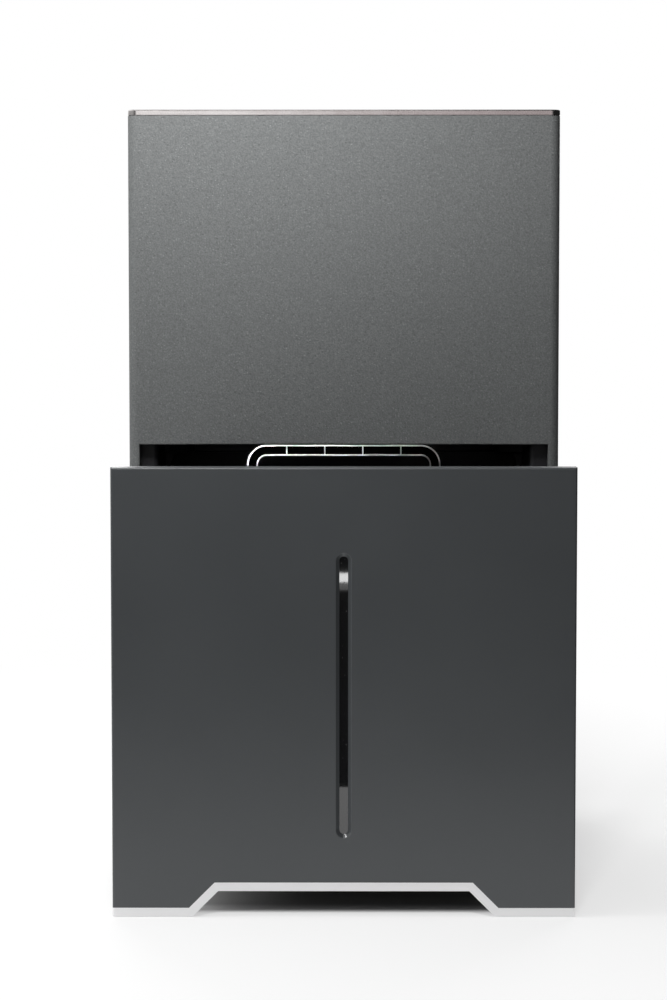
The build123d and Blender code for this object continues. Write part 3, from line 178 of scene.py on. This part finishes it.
class Finish:
    """A node tree whose nodes are made one at a time, and the looks that the materials share."""

    def __init__(self, tree):
        self.nodes = tree.nodes
        self.links = tree.links
        self.nodes.clear()

    def node(self, kind, settings, sockets, output=0):
        made = self.nodes.new(kind)
        for name, value in settings.items():
            setattr(made, name, value)
        for name, value in sockets.items():
            if isinstance(value, Signal):
                self.links.new(value.socket, made.inputs[name])
            else:
                made.inputs[name].default_value = value
        return Signal(self, made.outputs[output]) if made.outputs else None

    def place(self):
        """The point on the piece, in metres, in the frame at rest."""
        return self.node("ShaderNodeTexCoord", {}, {}, "Object")

    def stretched(self, place, x, y, z):
        return self.node("ShaderNodeVectorMath", {"operation": "MULTIPLY"}, {0: place, 1: (x, y, z)})

    def along(self, place, axis):
        return self.node("ShaderNodeSeparateXYZ", {}, {0: place}, axis)

    def noise(self, place, size, detail=2.0, rough=0.5):
        sockets = {"Vector": place, "Scale": 1.0 / size, "Detail": detail, "Roughness": rough}
        return self.node("ShaderNodeTexNoise", {}, sockets)

    def cells(self, place, size, output="Distance"):
        return self.node("ShaderNodeTexVoronoi", {}, {"Vector": place, "Scale": 1.0 / size}, output)

    def step(self, value, low, high):
        """Goes smoothly from 0 at low to 1 at high, which may be the smaller of the two."""
        settings = {"interpolation_type": "SMOOTHSTEP"}
        return self.node("ShaderNodeMapRange", settings, {"Value": value, "From Min": low, "From Max": high})

    def within(self, place, axis, low, high):
        """1 between low and high along an axis, 0 from a short blend outside them."""
        value = self.along(place, axis)
        return self.step(value, low - EDGE_BLEND, low) * self.step(value, high + EDGE_BLEND, high)

    def mix(self, share, first, second):
        settings = {"data_type": "RGBA"}
        return self.node("ShaderNodeMix", settings, {0: share, 6: first, 7: second}, 2)

    def bump(self, height, depth):
        return self.node("ShaderNodeBump", {}, {"Height": height, "Strength": 1.0, "Distance": depth})

    def surface(self, sockets):
        shader = self.node("ShaderNodeBsdfPrincipled", {}, sockets)
        self.node("ShaderNodeOutputMaterial", {}, {"Surface": shader})


def new_finish(name):
    material = bpy.data.materials.new(name)
    material.use_nodes = True
    return material, Finish(material.node_tree)


def textured_coat():
    """Dark grey powder coat: a fine grain, with single lighter grains and small pits."""
    material, coat = new_finish("textured_coat")
    place = coat.place()
    grain = coat.noise(place, size=0.0014, detail=2.0, rough=0.6)
    cloud = coat.noise(place, size=0.09, detail=3.0, rough=0.5)
    chosen = coat.step(coat.along(coat.cells(place, size=0.0026, output="Color"), "X"), 0.55, 0.95)
    bright = coat.step(coat.cells(place, size=0.0026), 0.42, 0.15) * chosen
    pits = coat.step(coat.cells(place, size=0.0047), 0.3, 0.1)
    tone = coat.mix(coat.step(grain, 0.3, 0.75), srgb(89, 91, 91), srgb(112, 114, 114))
    flecked = coat.mix(bright * 0.4, tone, srgb(142, 145, 145))
    pitted = coat.mix(pits * 0.35, flecked, srgb(66, 67, 67))
    coat.surface({
        "Base Color": coat.mix(cloud * 0.3, pitted, srgb(92, 95, 95)),
        "Roughness": 0.5 + grain * 0.16,
        "Specular IOR Level": 0.45,
        "Normal": coat.bump(grain * 0.6 + bright * 0.5 - pits * 0.4, depth=0.00025),
    })
    return material


def satin_paint():
    """Smooth dark grey paint with a faint orange peel and a little uneven sheen, glossier in the slot."""
    material, paint = new_finish("satin_paint")
    place = paint.place()
    low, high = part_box("window_strip")
    across = paint.within(place, "X", low.x - SLOT_RIM, high.x + SLOT_RIM)
    upwards = paint.within(place, "Z", low.z - SLOT_RIM, high.z + SLOT_RIM)
    inwards = paint.within(place, "Y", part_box("drawer_front")[0].y + SLOT_WALL_DEPTH, high.y)
    recess = across * upwards * inwards
    peel = paint.noise(place, size=0.004, detail=2.0, rough=0.45)
    fine = paint.noise(place, size=0.0011, detail=2.0, rough=0.6)
    cloud = paint.noise(place, size=0.12, detail=3.0, rough=0.5)
    tone = paint.mix(cloud, srgb(73, 76, 78), srgb(81, 84, 86))
    paint.surface({
        "Base Color": paint.mix(fine * 0.3, tone, srgb(89, 91, 94)),
        "Roughness": 0.29 + cloud * 0.08 - recess * 0.16,
        "Specular IOR Level": 0.55,
        "Normal": paint.bump(peel + fine * 0.3, depth=0.00006),
    })
    return material


def polished_steel():
    """Polished sheet with fine lengthwise polishing lines, and warm blotches in its colour that are a
    painted reflection of the room.
    """
    material, steel = new_finish("polished_steel")
    place = steel.place()
    lines = steel.noise(steel.stretched(place, 0.02, 1.0, 1.0), size=0.0006, detail=3.0, rough=0.6)
    cloud = steel.noise(place, size=0.035, detail=3.0, rough=0.6)
    steel.surface({
        # Painted reflection: the cloud tints the colour towards warm brown in blotches. It also varies the
        # roughness.
        "Base Color": steel.mix(cloud, srgb(226, 224, 223), srgb(200, 194, 192)),
        "Metallic": 1.0,
        "Roughness": 0.13 + lines * 0.1 + cloud * 0.06,
        "Normal": steel.bump(lines, depth=0.00002),
    })
    return material


def satin_aluminium(name, face_depth=None):
    """Anodised aluminium, brushed lengthwise. Behind a face whose depth is given, it is darkened to near
    black as painted shade.
    """
    material, metal = new_finish(name)
    place = metal.place()
    # Painted shade: behind the given face, where the trim's underside and back lie in shade, the colour goes
    # dark and stops being metallic
    painted = 0.0
    if face_depth is not None:
        painted = metal.step(metal.along(place, "Y"), face_depth, face_depth + TRIM_BLEND)
    lines = metal.noise(metal.stretched(place, 0.015, 1.0, 1.0), size=0.0005, detail=4.0, rough=0.7)
    cloud = metal.noise(place, size=0.03, detail=2.0, rough=0.5)
    brushed = metal.mix(lines * 0.6 + cloud * 0.3, srgb(246, 246, 247), srgb(255, 255, 255))
    metal.surface({
        "Base Color": metal.mix(painted, brushed, srgb(30, 31, 32)),
        "Metallic": 0.6 - painted * 0.6,
        "Roughness": 0.3 + lines * 0.12,
        "Normal": metal.bump(lines, depth=0.00003),
    })
    return material


def gloss_black():
    """Glossy black moulding with dust specks and a faint waviness."""
    material, gloss = new_finish("gloss_black")
    place = gloss.place()
    dust = gloss.step(gloss.noise(place, size=0.0016, detail=1.0, rough=0.5), 0.72, 0.78)
    wave = gloss.noise(place, size=0.02, detail=2.0, rough=0.5)
    gloss.surface({
        "Base Color": gloss.mix(dust * 0.5, srgb(32, 32, 33), srgb(120, 120, 120)),
        "Roughness": 0.018 + dust * 0.4 + wave * 0.012,
        "Specular IOR Level": 0.8,
        "Coat Weight": 1.0,
        "Coat Roughness": 0.02,
        "Normal": gloss.bump(wave, depth=0.000006),
    })
    return material


def frame_paint():
    """Dark semi-gloss paint on pressed steel, with rubbed spots that show less sheen."""
    material, paint = new_finish("frame_paint")
    place = paint.place()
    peel = paint.noise(place, size=0.003, detail=2.0, rough=0.5)
    rubbed = paint.step(paint.noise(place, size=0.05, detail=4.0, rough=0.6), 0.5, 0.75)
    paint.surface({
        "Base Color": paint.mix(rubbed, srgb(34, 34, 37), srgb(39, 39, 42)),
        "Roughness": 0.40 + rubbed * 0.08,
        "Normal": paint.bump(peel, depth=0.00008),
    })
    return material


def galvanised_steel():
    """Zinc plated sheet with spangled patches of different brightness."""
    material, zinc = new_finish("galvanised_steel")
    place = zinc.place()
    spangle = zinc.along(zinc.cells(place, size=0.012, output="Color"), "X")
    streak = zinc.noise(zinc.stretched(place, 1.0, 0.1, 1.0), size=0.002, detail=3.0, rough=0.6)
    tone = spangle * 0.6 + streak * 0.4
    zinc.surface({
        "Base Color": zinc.mix(tone, srgb(158, 161, 164), srgb(196, 198, 200)),
        "Metallic": 0.9,
        "Roughness": 0.34 + tone * 0.2,
        "Normal": zinc.bump(streak, depth=0.00003),
    })
    return material


def moulded_plastic(name, dark, light, rough):
    """Matt moulding with a spark-eroded grain."""
    material, plastic = new_finish(name)
    place = plastic.place()
    grain = plastic.noise(place, size=0.0009, detail=2.0, rough=0.6)
    flow = plastic.noise(place, size=0.06, detail=3.0, rough=0.5)
    plastic.surface({
        "Base Color": plastic.mix(flow * 0.7 + grain * 0.3, dark, light),
        "Roughness": rough + grain * 0.12,
        "Normal": plastic.bump(grain, depth=0.00009),
    })
    return material


def soft_rubber(name, dark, light):
    """Dull rubber with a pale bloom in patches."""
    material, rubber = new_finish(name)
    place = rubber.place()
    bloom = rubber.step(rubber.noise(place, size=0.02, detail=4.0, rough=0.65), 0.45, 0.8)
    grain = rubber.noise(place, size=0.0014, detail=2.0, rough=0.5)
    rubber.surface({
        "Base Color": rubber.mix(bloom, dark, light),
        "Roughness": 0.72 + bloom * 0.15,
        "Specular IOR Level": 0.35,
        "Normal": rubber.bump(grain, depth=0.0001),
    })
    return material


def handle_chrome():
    """Plated rims, scratched here and there, round a recess whose colour is black as painted shade."""
    material, plate = new_finish("handle_chrome")
    place = plate.place()
    front_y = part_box("bail_handle")[0].y
    # Painted shade: the recess behind the rims' front faces is coloured black, matt and not metallic
    shaded_hollow = plate.step(plate.along(place, "Y"), *(front_y + depth for depth in HANDLE_RIM))
    scratch = plate.step(plate.noise(place, size=0.002, detail=4.0, rough=0.7), 0.55, 0.8)
    plate.surface({
        "Base Color": plate.mix(shaded_hollow, srgb(240, 240, 240), srgb(4, 4, 4)),
        "Metallic": 0.5 - shaded_hollow * 0.5,
        "Roughness": 0.3 + scratch * 0.1 + shaded_hollow * 0.4,
        "Specular IOR Level": 0.0,
        "Normal": plate.bump(scratch, depth=0.00002),
    })
    return material


def bronze():
    """Sintered bronze with open pores, darkened by oil."""
    material, metal = new_finish("bronze")
    place = metal.place()
    pores = metal.step(metal.cells(place, size=0.0012), 0.15, 0.4)
    oil = metal.noise(place, size=0.01, detail=3.0, rough=0.6)
    metal.surface({
        "Base Color": metal.mix(oil * 0.6 + (1.0 - pores) * 0.3, srgb(196, 160, 104), srgb(128, 96, 58)),
        "Metallic": 0.95,
        "Roughness": 0.36 + oil * 0.2,
        "Normal": metal.bump(pores, depth=0.00008),
    })
    return material


def motor_enamel():
    """Grey enamel over a cast and rolled motor can."""
    material, enamel = new_finish("motor_enamel")
    place = enamel.place()
    cast = enamel.noise(place, size=0.0025, detail=3.0, rough=0.6)
    dirt = enamel.step(enamel.noise(place, size=0.03, detail=4.0, rough=0.6), 0.45, 0.75)
    enamel.surface({
        "Base Color": enamel.mix(dirt, srgb(84, 87, 90), srgb(62, 63, 64)),
        "Roughness": 0.42 + dirt * 0.2,
        "Normal": enamel.bump(cast, depth=0.0002),
    })
    return material


FINISHES = {
    "textured_coat": textured_coat(),
    "satin_paint": satin_paint(),
    "polished_steel": polished_steel(),
    "satin_aluminium": satin_aluminium("satin_aluminium"),
    "gloss_black": gloss_black(),
    "frame_paint": frame_paint(),
    "galvanised_steel": galvanised_steel(),
    "black_plastic": moulded_plastic("black_plastic", srgb(24, 24, 25), srgb(34, 34, 36), 0.48),
    "grey_plastic": moulded_plastic("grey_plastic", srgb(128, 130, 132), srgb(146, 148, 150), 0.5),
    "control_plastic": moulded_plastic("control_plastic", srgb(52, 53, 55), srgb(64, 65, 67), 0.3),
    "black_rubber": soft_rubber("black_rubber", srgb(22, 22, 22), srgb(38, 37, 36)),
    "handle_chrome": handle_chrome(),
    "bronze": bronze(),
    "motor_enamel": motor_enamel(),
}

# Nodes whose finish differs from the rest of their material slot
NODE_FINISHES = {
    "top_gasket": soft_rubber("seam_rubber", srgb(128, 124, 124), srgb(144, 140, 140)),
    # The trim strip is darkened behind its face as painted shade
    "front_trim": satin_aluminium("trim_strip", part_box("front_trim")[0].y + TRIM_FACE),
}

for subpart in frame["record"]["subparts"]:
    skin = frame["nodes"][subpart["node"]].data
    skin.materials.clear()
    skin.materials.append(NODE_FINISHES.get(subpart["node"], FINISHES[subpart["material_slot"]]))


# Threads, screws, belt teeth and marks, in metres
SHARP_DEG = 35.0
TURN_SIDES = 18
THREAD_Z = (0.429, 0.730)
THREAD_R = 0.0080
THREAD_ROOT_R = 0.0068
THREAD_PITCH = 0.005
THREAD_STARTS = 2
THREAD_SHAPE = ((0.00, THREAD_ROOT_R), (0.32, THREAD_ROOT_R), (0.50, THREAD_R), (0.82, THREAD_R))
JOURNAL_R = 0.006
JOURNAL_CHAMFER = 0.0008
COVER_SCREW = (0.0036, 0.0020)
COVER_SCREW_ROWS = 4
LINER_SCREW = (0.0042, 0.0016)
RAIL_SCREW = (0.0036, 0.0014)
LINER_SCREW_X = 0.198
LINER_SCREW_Z = (0.045, 0.160, 0.275, 0.390)
RAIL_SCREWS = 4
RAIL_WEB_T = 0.0014
HEAD_DOME = ((1.0, 0.0), (0.97, 0.45), (0.80, 0.82))
CROSS_ARM = 0.56
CROSS_HALF_WIDTH = 0.17
CROSS_DEPTH = 0.6
BELT_INNER_R = 0.0193
BELT_TOOTH = (0.0028, 0.0018, 0.0014)
PULLEY_TEETH = 24
TICK = (0.0150, 0.0185, 0.0006, 0.00015)
CONTROL_PLATE_T = 0.0012
POINTER = (0.0005, 0.00025)
GRIP_NOSE = 0.012
GRIP_H = 0.007
GRIP_TAPER_DEG = 6.0


def make_piece(name, points, faces, slot, body):
    """A piece of mesh that rides on a body and takes the finish of a material slot."""
    mesh = bpy.data.meshes.new(name)
    mesh.from_pydata(points, [], faces)
    mesh.materials.append(FINISHES[slot])
    mesh.polygons.foreach_set("use_smooth", [True] * len(mesh.polygons))
    mesh.set_sharp_from_angle(angle=math.radians(SHARP_DEG))
    piece = bpy.data.objects.new(name, mesh)
    bpy.context.scene.collection.objects.link(piece)
    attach(piece, body)
    return piece


def joined(shapes):
    """Points and faces of several shapes as one mesh."""
    points, faces = [], []
    for shape_points, shape_faces in shapes:
        start = len(points)
        points += [tuple(point) for point in shape_points]
        faces += [tuple(start + corner for corner in face) for face in shape_faces]
    return points, faces


def placed(shape, place, axis):
    """A shape made round +Z, stood at a place with its +Z along an axis."""
    points, faces = shape
    turn = Vector(axis).to_track_quat("Z", "Y")
    return [turn @ Vector(point) + Vector(place) for point in points], faces


def circle(radius, height, angles):
    return [(radius * math.cos(angle), radius * math.sin(angle), height) for angle in angles]


def between(first, second, count):
    """Quads from one ring of points to the next."""
    return [(first + i, first + (i + 1) % count, second + (i + 1) % count, second + i) for i in range(count)]


def turned(rings, cap):
    """A profile of radius and height pairs turned round +Z, closed by a cap at its first or last ring."""
    angles = [2.0 * math.pi * i / TURN_SIDES for i in range(TURN_SIDES)]
    points = [point for radius, height in rings for point in circle(radius, height, angles)]
    faces = []
    for i in range(len(rings) - 1):
        faces += between(i * TURN_SIDES, (i + 1) * TURN_SIDES, TURN_SIDES)
    if cap == "first":
        faces.append(tuple(reversed(range(TURN_SIDES))))
    else:
        faces.append(tuple(range(len(points) - TURN_SIDES, len(points))))
    return points, faces


def thread():
    """Right-handed thread: a grid that climbs by its starts with each turn, cut level at both ends."""
    low, high = THREAD_Z
    shape = len(THREAD_SHAPE)
    climb = THREAD_STARTS * shape
    pitches = int((high - low) / THREAD_PITCH) + THREAD_STARTS + 2
    rows = pitches * shape
    points = []
    for i in range(TURN_SIDES):
        angle = 2.0 * math.pi * i / TURN_SIDES
        for row in range(rows + climb):
            share, radius = THREAD_SHAPE[row % shape]
            rise = row // shape + share + THREAD_STARTS * (i / TURN_SIDES - 1.0)
            height = min(max(low + rise * THREAD_PITCH, low), high)
            points.append((radius * math.cos(angle), radius * math.sin(angle), height))

    def corner(i, row):
        return i * (rows + climb) + row if i < TURN_SIDES else row + climb

    faces = []
    for i in range(TURN_SIDES):
        for row in range(rows - 1):
            face = (corner(i, row), corner(i + 1, row), corner(i + 1, row + 1), corner(i, row + 1))
            heights = {points[number][2] for number in face}
            if heights not in ({low}, {high}):
                faces.append(face)
    return points, faces


def lead_screw(side):
    low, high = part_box(f"lead_screw_{side}")
    foot = [
        (JOURNAL_R - JOURNAL_CHAMFER, low.z),
        (JOURNAL_R, low.z + JOURNAL_CHAMFER),
        (JOURNAL_R, THREAD_Z[0]),
        (THREAD_R, THREAD_Z[0]),
    ]
    head = [
        (THREAD_R, THREAD_Z[1]),
        (JOURNAL_R, THREAD_Z[1]),
        (JOURNAL_R, high.z - JOURNAL_CHAMFER),
        (JOURNAL_R - JOURNAL_CHAMFER, high.z),
    ]
    whole = joined([turned(foot, "first"), thread(), turned(head, "last")])
    axis = ((low.x + high.x) / 2, (low.y + high.y) / 2, 0.0)
    points, faces = placed(whole, axis, (0.0, 0.0, 1.0))
    piece = make_piece(f"threaded_screw_{side}", points, faces, "galvanised_steel", f"screw_{side}")
    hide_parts(f"lead_screw_{side}")


def pan_head(radius, height):
    """Domed screw head with a cross recess, seated on z = 0."""
    arm = CROSS_ARM * radius
    half = CROSS_HALF_WIDTH * radius
    quarter = [(arm, -half), (arm, half), (half, half)]
    cross = []
    for _ in range(4):
        cross += quarter
        quarter = [(-y, x) for x, y in quarter]
    angles = [math.atan2(y, x) for x, y in cross]
    count = len(cross)
    points = []
    for across, up in HEAD_DOME:
        points += circle(across * radius, up * height, angles)
    points += [(x, y, height) for x, y in cross]
    points += [(x, y, height * (1.0 - CROSS_DEPTH)) for x, y in cross]
    faces = []
    for ring in range(4):
        faces += between(ring * count, (ring + 1) * count, count)
    faces.append(tuple(range(4 * count, 5 * count)))
    return points, faces


def screw_heads(name, size, places, axis, body):
    points, faces = joined(placed(pan_head(*size), place, axis) for place in places)
    return make_piece(name, points, faces, "galvanised_steel", body)


def spread_between(low, high, count):
    return [low + (high - low) * i / (count - 1) for i in range(count)]


def cover_screws():
    low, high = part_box("rear_cover_screws")
    reach = COVER_SCREW[0]
    columns = (low.x + reach, high.x - reach)
    rows = spread_between(low.z + reach, high.z - reach, COVER_SCREW_ROWS)
    places = [(x, low.y, z) for x in columns for z in rows]
    heads = screw_heads("cover_screw_heads", COVER_SCREW, places, (0.0, 1.0, 0.0), "cabinet")
    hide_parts("rear_cover_screws")


def liner_screws():
    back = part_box("front_liner")[1].y
    places = [(side * LINER_SCREW_X, back, z) for side in (-1, 1) for z in LINER_SCREW_Z]
    screw_heads("liner_screw_heads", LINER_SCREW, places, (0.0, 1.0, 0.0), "drawer")


def rail_screws():
    for side, outward in (("left", -1.0), ("right", 1.0)):
        low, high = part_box(f"slide_inner_{side}")
        web = high.x - RAIL_WEB_T if outward < 0.0 else low.x + RAIL_WEB_T
        middle = (low.z + high.z) / 2
        along = spread_between(low.y, high.y, RAIL_SCREWS + 2)[1:-1]
        places = [(web, y, middle) for y in along]
        screw_heads(f"rail_screw_heads_{side}", RAIL_SCREW, places, (outward, 0.0, 0.0), "drawer")


def belt_tooth(height):
    """One tooth, standing inwards along +Z from the belt, as long as the belt is high along Y."""
    root, tip, deep = BELT_TOOTH
    outline = ((-root / 2, 0.0), (root / 2, 0.0), (tip / 2, deep), (-tip / 2, deep))
    points = [(x, y, z) for y in (-height / 2, height / 2) for x, z in outline]
    faces = [(0, 1, 2, 3), (7, 6, 5, 4), (1, 5, 6, 2), (2, 6, 7, 3), (3, 7, 4, 0)]
    return points, faces


def belt_teeth():
    """Teeth on the belt's three straight runs, at the pulleys' own pitch."""
    low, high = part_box("drive_belt")
    centres = []
    for pulley in ("screw_pulley_left", "screw_pulley_right", "motor_pulley"):
        corner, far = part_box(pulley)
        centres.append(Vector(((corner.x + far.x) / 2, (corner.y + far.y) / 2, (low.z + high.z) / 2)))
    pitch = 2.0 * math.pi * BELT_INNER_R / PULLEY_TEETH
    teeth = []
    for i, start in enumerate(centres):
        run = centres[(i + 1) % 3] - start
        along = run.normalized()
        inwards = Vector((-along.y, along.x, 0.0))
        stand = Matrix((along, Vector((0.0, 0.0, -1.0)), inwards)).transposed()
        points, faces = belt_tooth(high.z - low.z)
        for number in range(1, int(run.length / pitch) - 1):
            seat = start - inwards * BELT_INNER_R + along * pitch * (number + 0.5)
            teeth.append(([stand @ Vector(point) + seat for point in points], faces))
    points, faces = joined(teeth)
    make_piece("belt_teeth", points, faces, "black_rubber", "cabinet")


def bar(low, high):
    """A bar between two corners, its upper edges drawn in by a third of its height."""
    inset = (high[2] - low[2]) / 3.0
    base = [(low[0], low[1]), (high[0], low[1]), (high[0], high[1]), (low[0], high[1])]
    middle = ((low[0] + high[0]) / 2, (low[1] + high[1]) / 2)
    top = [
        (x + math.copysign(inset, middle[0] - x), y + math.copysign(inset, middle[1] - y))
        for x, y in base
    ]
    points = [(x, y, low[2]) for x, y in base] + [(x, y, high[2]) for x, y in top]
    return points, [*between(0, 4, 4), (4, 5, 6, 7)]


def knob_ticks():
    """A tick at each end of the knob's quarter turn."""
    low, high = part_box("lock_knob")
    x, y = (low.x + high.x) / 2, (low.y + high.y) / 2
    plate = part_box("top_plate")[1].z + CONTROL_PLATE_T
    near, far, half, proud = TICK
    points, faces = joined([
        bar((x + near, y - half, plate), (x + far, y + half, plate + proud)),
        bar((x - half, y + near, plate), (x + half, y + far, plate + proud)),
    ])
    make_piece("knob_ticks", points, faces, "grey_plastic", "cabinet")


def knob_pointer():
    """A thin rib down the nose of the knob's grip."""
    low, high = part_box("lock_knob")
    x, y = (low.x + high.x) / 2, (low.y + high.y) / 2
    half, proud = POINTER
    foot = high.z - GRIP_H
    lean = GRIP_H * math.tan(math.radians(GRIP_TAPER_DEG))
    points = []
    for height, nose in ((foot, GRIP_NOSE), (high.z, GRIP_NOSE - lean)):
        for depth in (nose - proud, nose + proud):
            points += [(x + depth, y - half, height), (x + depth, y + half, height)]
    faces = [(2, 3, 7, 6), (0, 2, 6, 4), (3, 1, 5, 7), (4, 6, 7, 5)]
    make_piece("knob_pointer", points, faces, "grey_plastic", "knob")


for screw_side in ("left", "right"):
    lead_screw(screw_side)
cover_screws()
liner_screws()
rail_screws()
belt_teeth()
knob_ticks()
knob_pointer()


def floor_finish():
    """White paper with a shadow painted under the object, evened out to white away from it."""
    material, paper = new_finish("floor_paper")
    place = paper.place()
    beside = [
        paper.node("ShaderNodeMath", {"operation": "ABSOLUTE"}, {0: paper.along(place, axis)}) - half
        for axis, half in zip("XY", FOOTPRINT_HALF)
    ]
    away = paper.node("ShaderNodeMath", {"operation": "MAXIMUM"}, {0: beside[0], 1: beside[1]})
    glow = paper.step(away, *GLOW_EDGE) * PAPER_GLOW + paper.step(away, *FAR_EDGE) * (1.0 - PAPER_GLOW)
    # Painted shadow: the paper's colour is darker deep under the object
    shade = paper.mix(paper.step(away, *PAINTED_SHADOW_EDGE), srgb(*PAPER_SHADE), srgb(*PAINTED_SHADOW_TONE))
    lit = paper.node("ShaderNodeBsdfDiffuse", {}, {"Color": shade})
    white = paper.node("ShaderNodeEmission", {}, {"Color": WHITE, "Strength": 1.0})
    shown = paper.node("ShaderNodeMixShader", {}, {0: glow, 1: lit, 2: white})
    unseen = 1.0 - paper.node("ShaderNodeLightPath", {}, {}, "Is Camera Ray")
    dim = paper.step(paper.along(place, "X"), *DARK_SIDE_X) * unseen * DARK_SIDE
    dark = paper.node("ShaderNodeBsdfDiffuse", {}, {"Color": BLACK})
    seen = paper.node("ShaderNodeMixShader", {}, {0: dim, 1: shown, 2: dark})
    paper.node("ShaderNodeOutputMaterial", {}, {"Surface": seen})
    return material


def make_floor():
    mesh = bpy.data.meshes.new("floor")
    corners = [
        (-FLOOR_HALF_WIDTH, FLOOR_FRONT_Y, 0.0),
        (FLOOR_HALF_WIDTH, FLOOR_FRONT_Y, 0.0),
        (FLOOR_HALF_WIDTH, FLOOR_BACK_Y, 0.0),
        (-FLOOR_HALF_WIDTH, FLOOR_BACK_Y, 0.0),
    ]
    mesh.from_pydata(corners, [], [(0, 1, 2, 3)])
    mesh.materials.append(floor_finish())
    floor = bpy.data.objects.new("floor", mesh)
    bpy.context.scene.collection.objects.link(floor)
    return floor


def make_world():
    """White to the eye. For the light it is a dim room, brighter on the left, with a white backdrop."""
    world = bpy.data.worlds.new("studio")
    world.use_nodes = True
    bpy.context.scene.world = world
    room = Finish(world.node_tree)
    way = room.node("ShaderNodeTexCoord", {}, {}, "Generated")
    across = room.along(way, "X")
    forwards = room.along(way, "Y")
    upwards = room.along(way, "Z")
    left = room.step(across, *LEFT_EDGE) * LEFT_LEVEL
    card = room.step(across, *CARD_EDGE) * CARD_LEVEL
    above = room.step(upwards, *ROOM_ABOVE)
    backdrop = room.step(forwards, *BACKDROP_DEPTH) * room.step(across, *BACKDROP_EDGE)
    level = backdrop * BACKDROP_LEVEL + above * (ROOM_LEVEL + left + card)
    band = room.step(upwards, *NEAR_FOOT) * room.step(upwards, *NEAR_HEAD)
    near_side = room.step(forwards, *NEAR_DEPTH) * band
    near_colour = room.mix(room.step(across, *NEAR_TURN), NEAR_LEFT, NEAR_RIGHT)
    camera = room.node("ShaderNodeLightPath", {}, {}, "Is Camera Ray")
    clear = room.node("ShaderNodeLightPath", {}, {}, "Is Transmission Ray")
    glossy = room.node("ShaderNodeLightPath", {}, {}, "Is Glossy Ray")
    direct = room.node("ShaderNodeMath", {"operation": "MAXIMUM"}, {0: camera, 1: clear})
    seen = room.node("ShaderNodeMath", {"operation": "MAXIMUM"}, {0: direct, 1: glossy * backdrop})
    shown = near_side * glossy
    sockets = {
        "Color": room.mix(shown, WHITE, near_colour),
        "Strength": (level * (1.0 - shown) + shown) * (1.0 - seen) + seen,
    }
    back = room.node("ShaderNodeBackground", {}, sockets)
    room.node("ShaderNodeOutputWorld", {}, {"Surface": back})


def softbox(name, plan):
    light = bpy.data.lights.new(name, "AREA")
    light.shape = "RECTANGLE"
    light.size, light.size_y = plan.size
    light.energy = plan.watts
    light.color = plan.colour
    light.spread = math.radians(plan.spread)
    lamp = bpy.data.objects.new(name, light)
    lamp.location = plan.place
    lamp.rotation_euler = (Vector(plan.target) - Vector(plan.place)).to_track_quat("-Z", "Y").to_euler()
    lamp.visible_camera = False
    bpy.context.scene.collection.objects.link(lamp)
    return lamp


def light_only(lamp, piece):
    """Lets a lamp fall on one piece and on nothing else."""
    lit = bpy.data.collections.new(lamp.name + "_falls_on")
    lit.objects.link(piece)
    lamp.light_linking.receiver_collection = lit


def leave_out(lamp, piece):
    """Keeps a lamp off one piece."""
    kept_off = bpy.data.collections.new(lamp.name + "_misses")
    kept_off.objects.link(piece)
    kept_off.collection_objects[0].light_linking.link_state = "EXCLUDE"
    lamp.light_linking.receiver_collection = kept_off


def make_lamps(pieces):
    for name, plan in LAMPS.items():
        lamp = softbox(name, plan)
        if plan.only:
            light_only(lamp, pieces[plan.only])
        if plan.keeps_off:
            leave_out(lamp, pieces[plan.keeps_off])


def make_camera():
    camera = bpy.data.cameras.new("camera")
    camera.lens = LENS_MM
    camera.sensor_width = SENSOR_MM
    stand = bpy.data.objects.new("camera", camera)
    stand.location = CAMERA_PLACE
    stand.rotation_euler = (math.radians(90.0 - CAMERA_DOWN_DEG), 0.0, math.radians(CAMERA_LEFT_DEG))
    bpy.context.scene.collection.objects.link(stand)
    bpy.context.scene.camera = stand


make_camera()
make_world()
make_lamps({**frame["nodes"], "floor": make_floor()})

bpy.context.scene.view_settings.view_transform = "Standard"
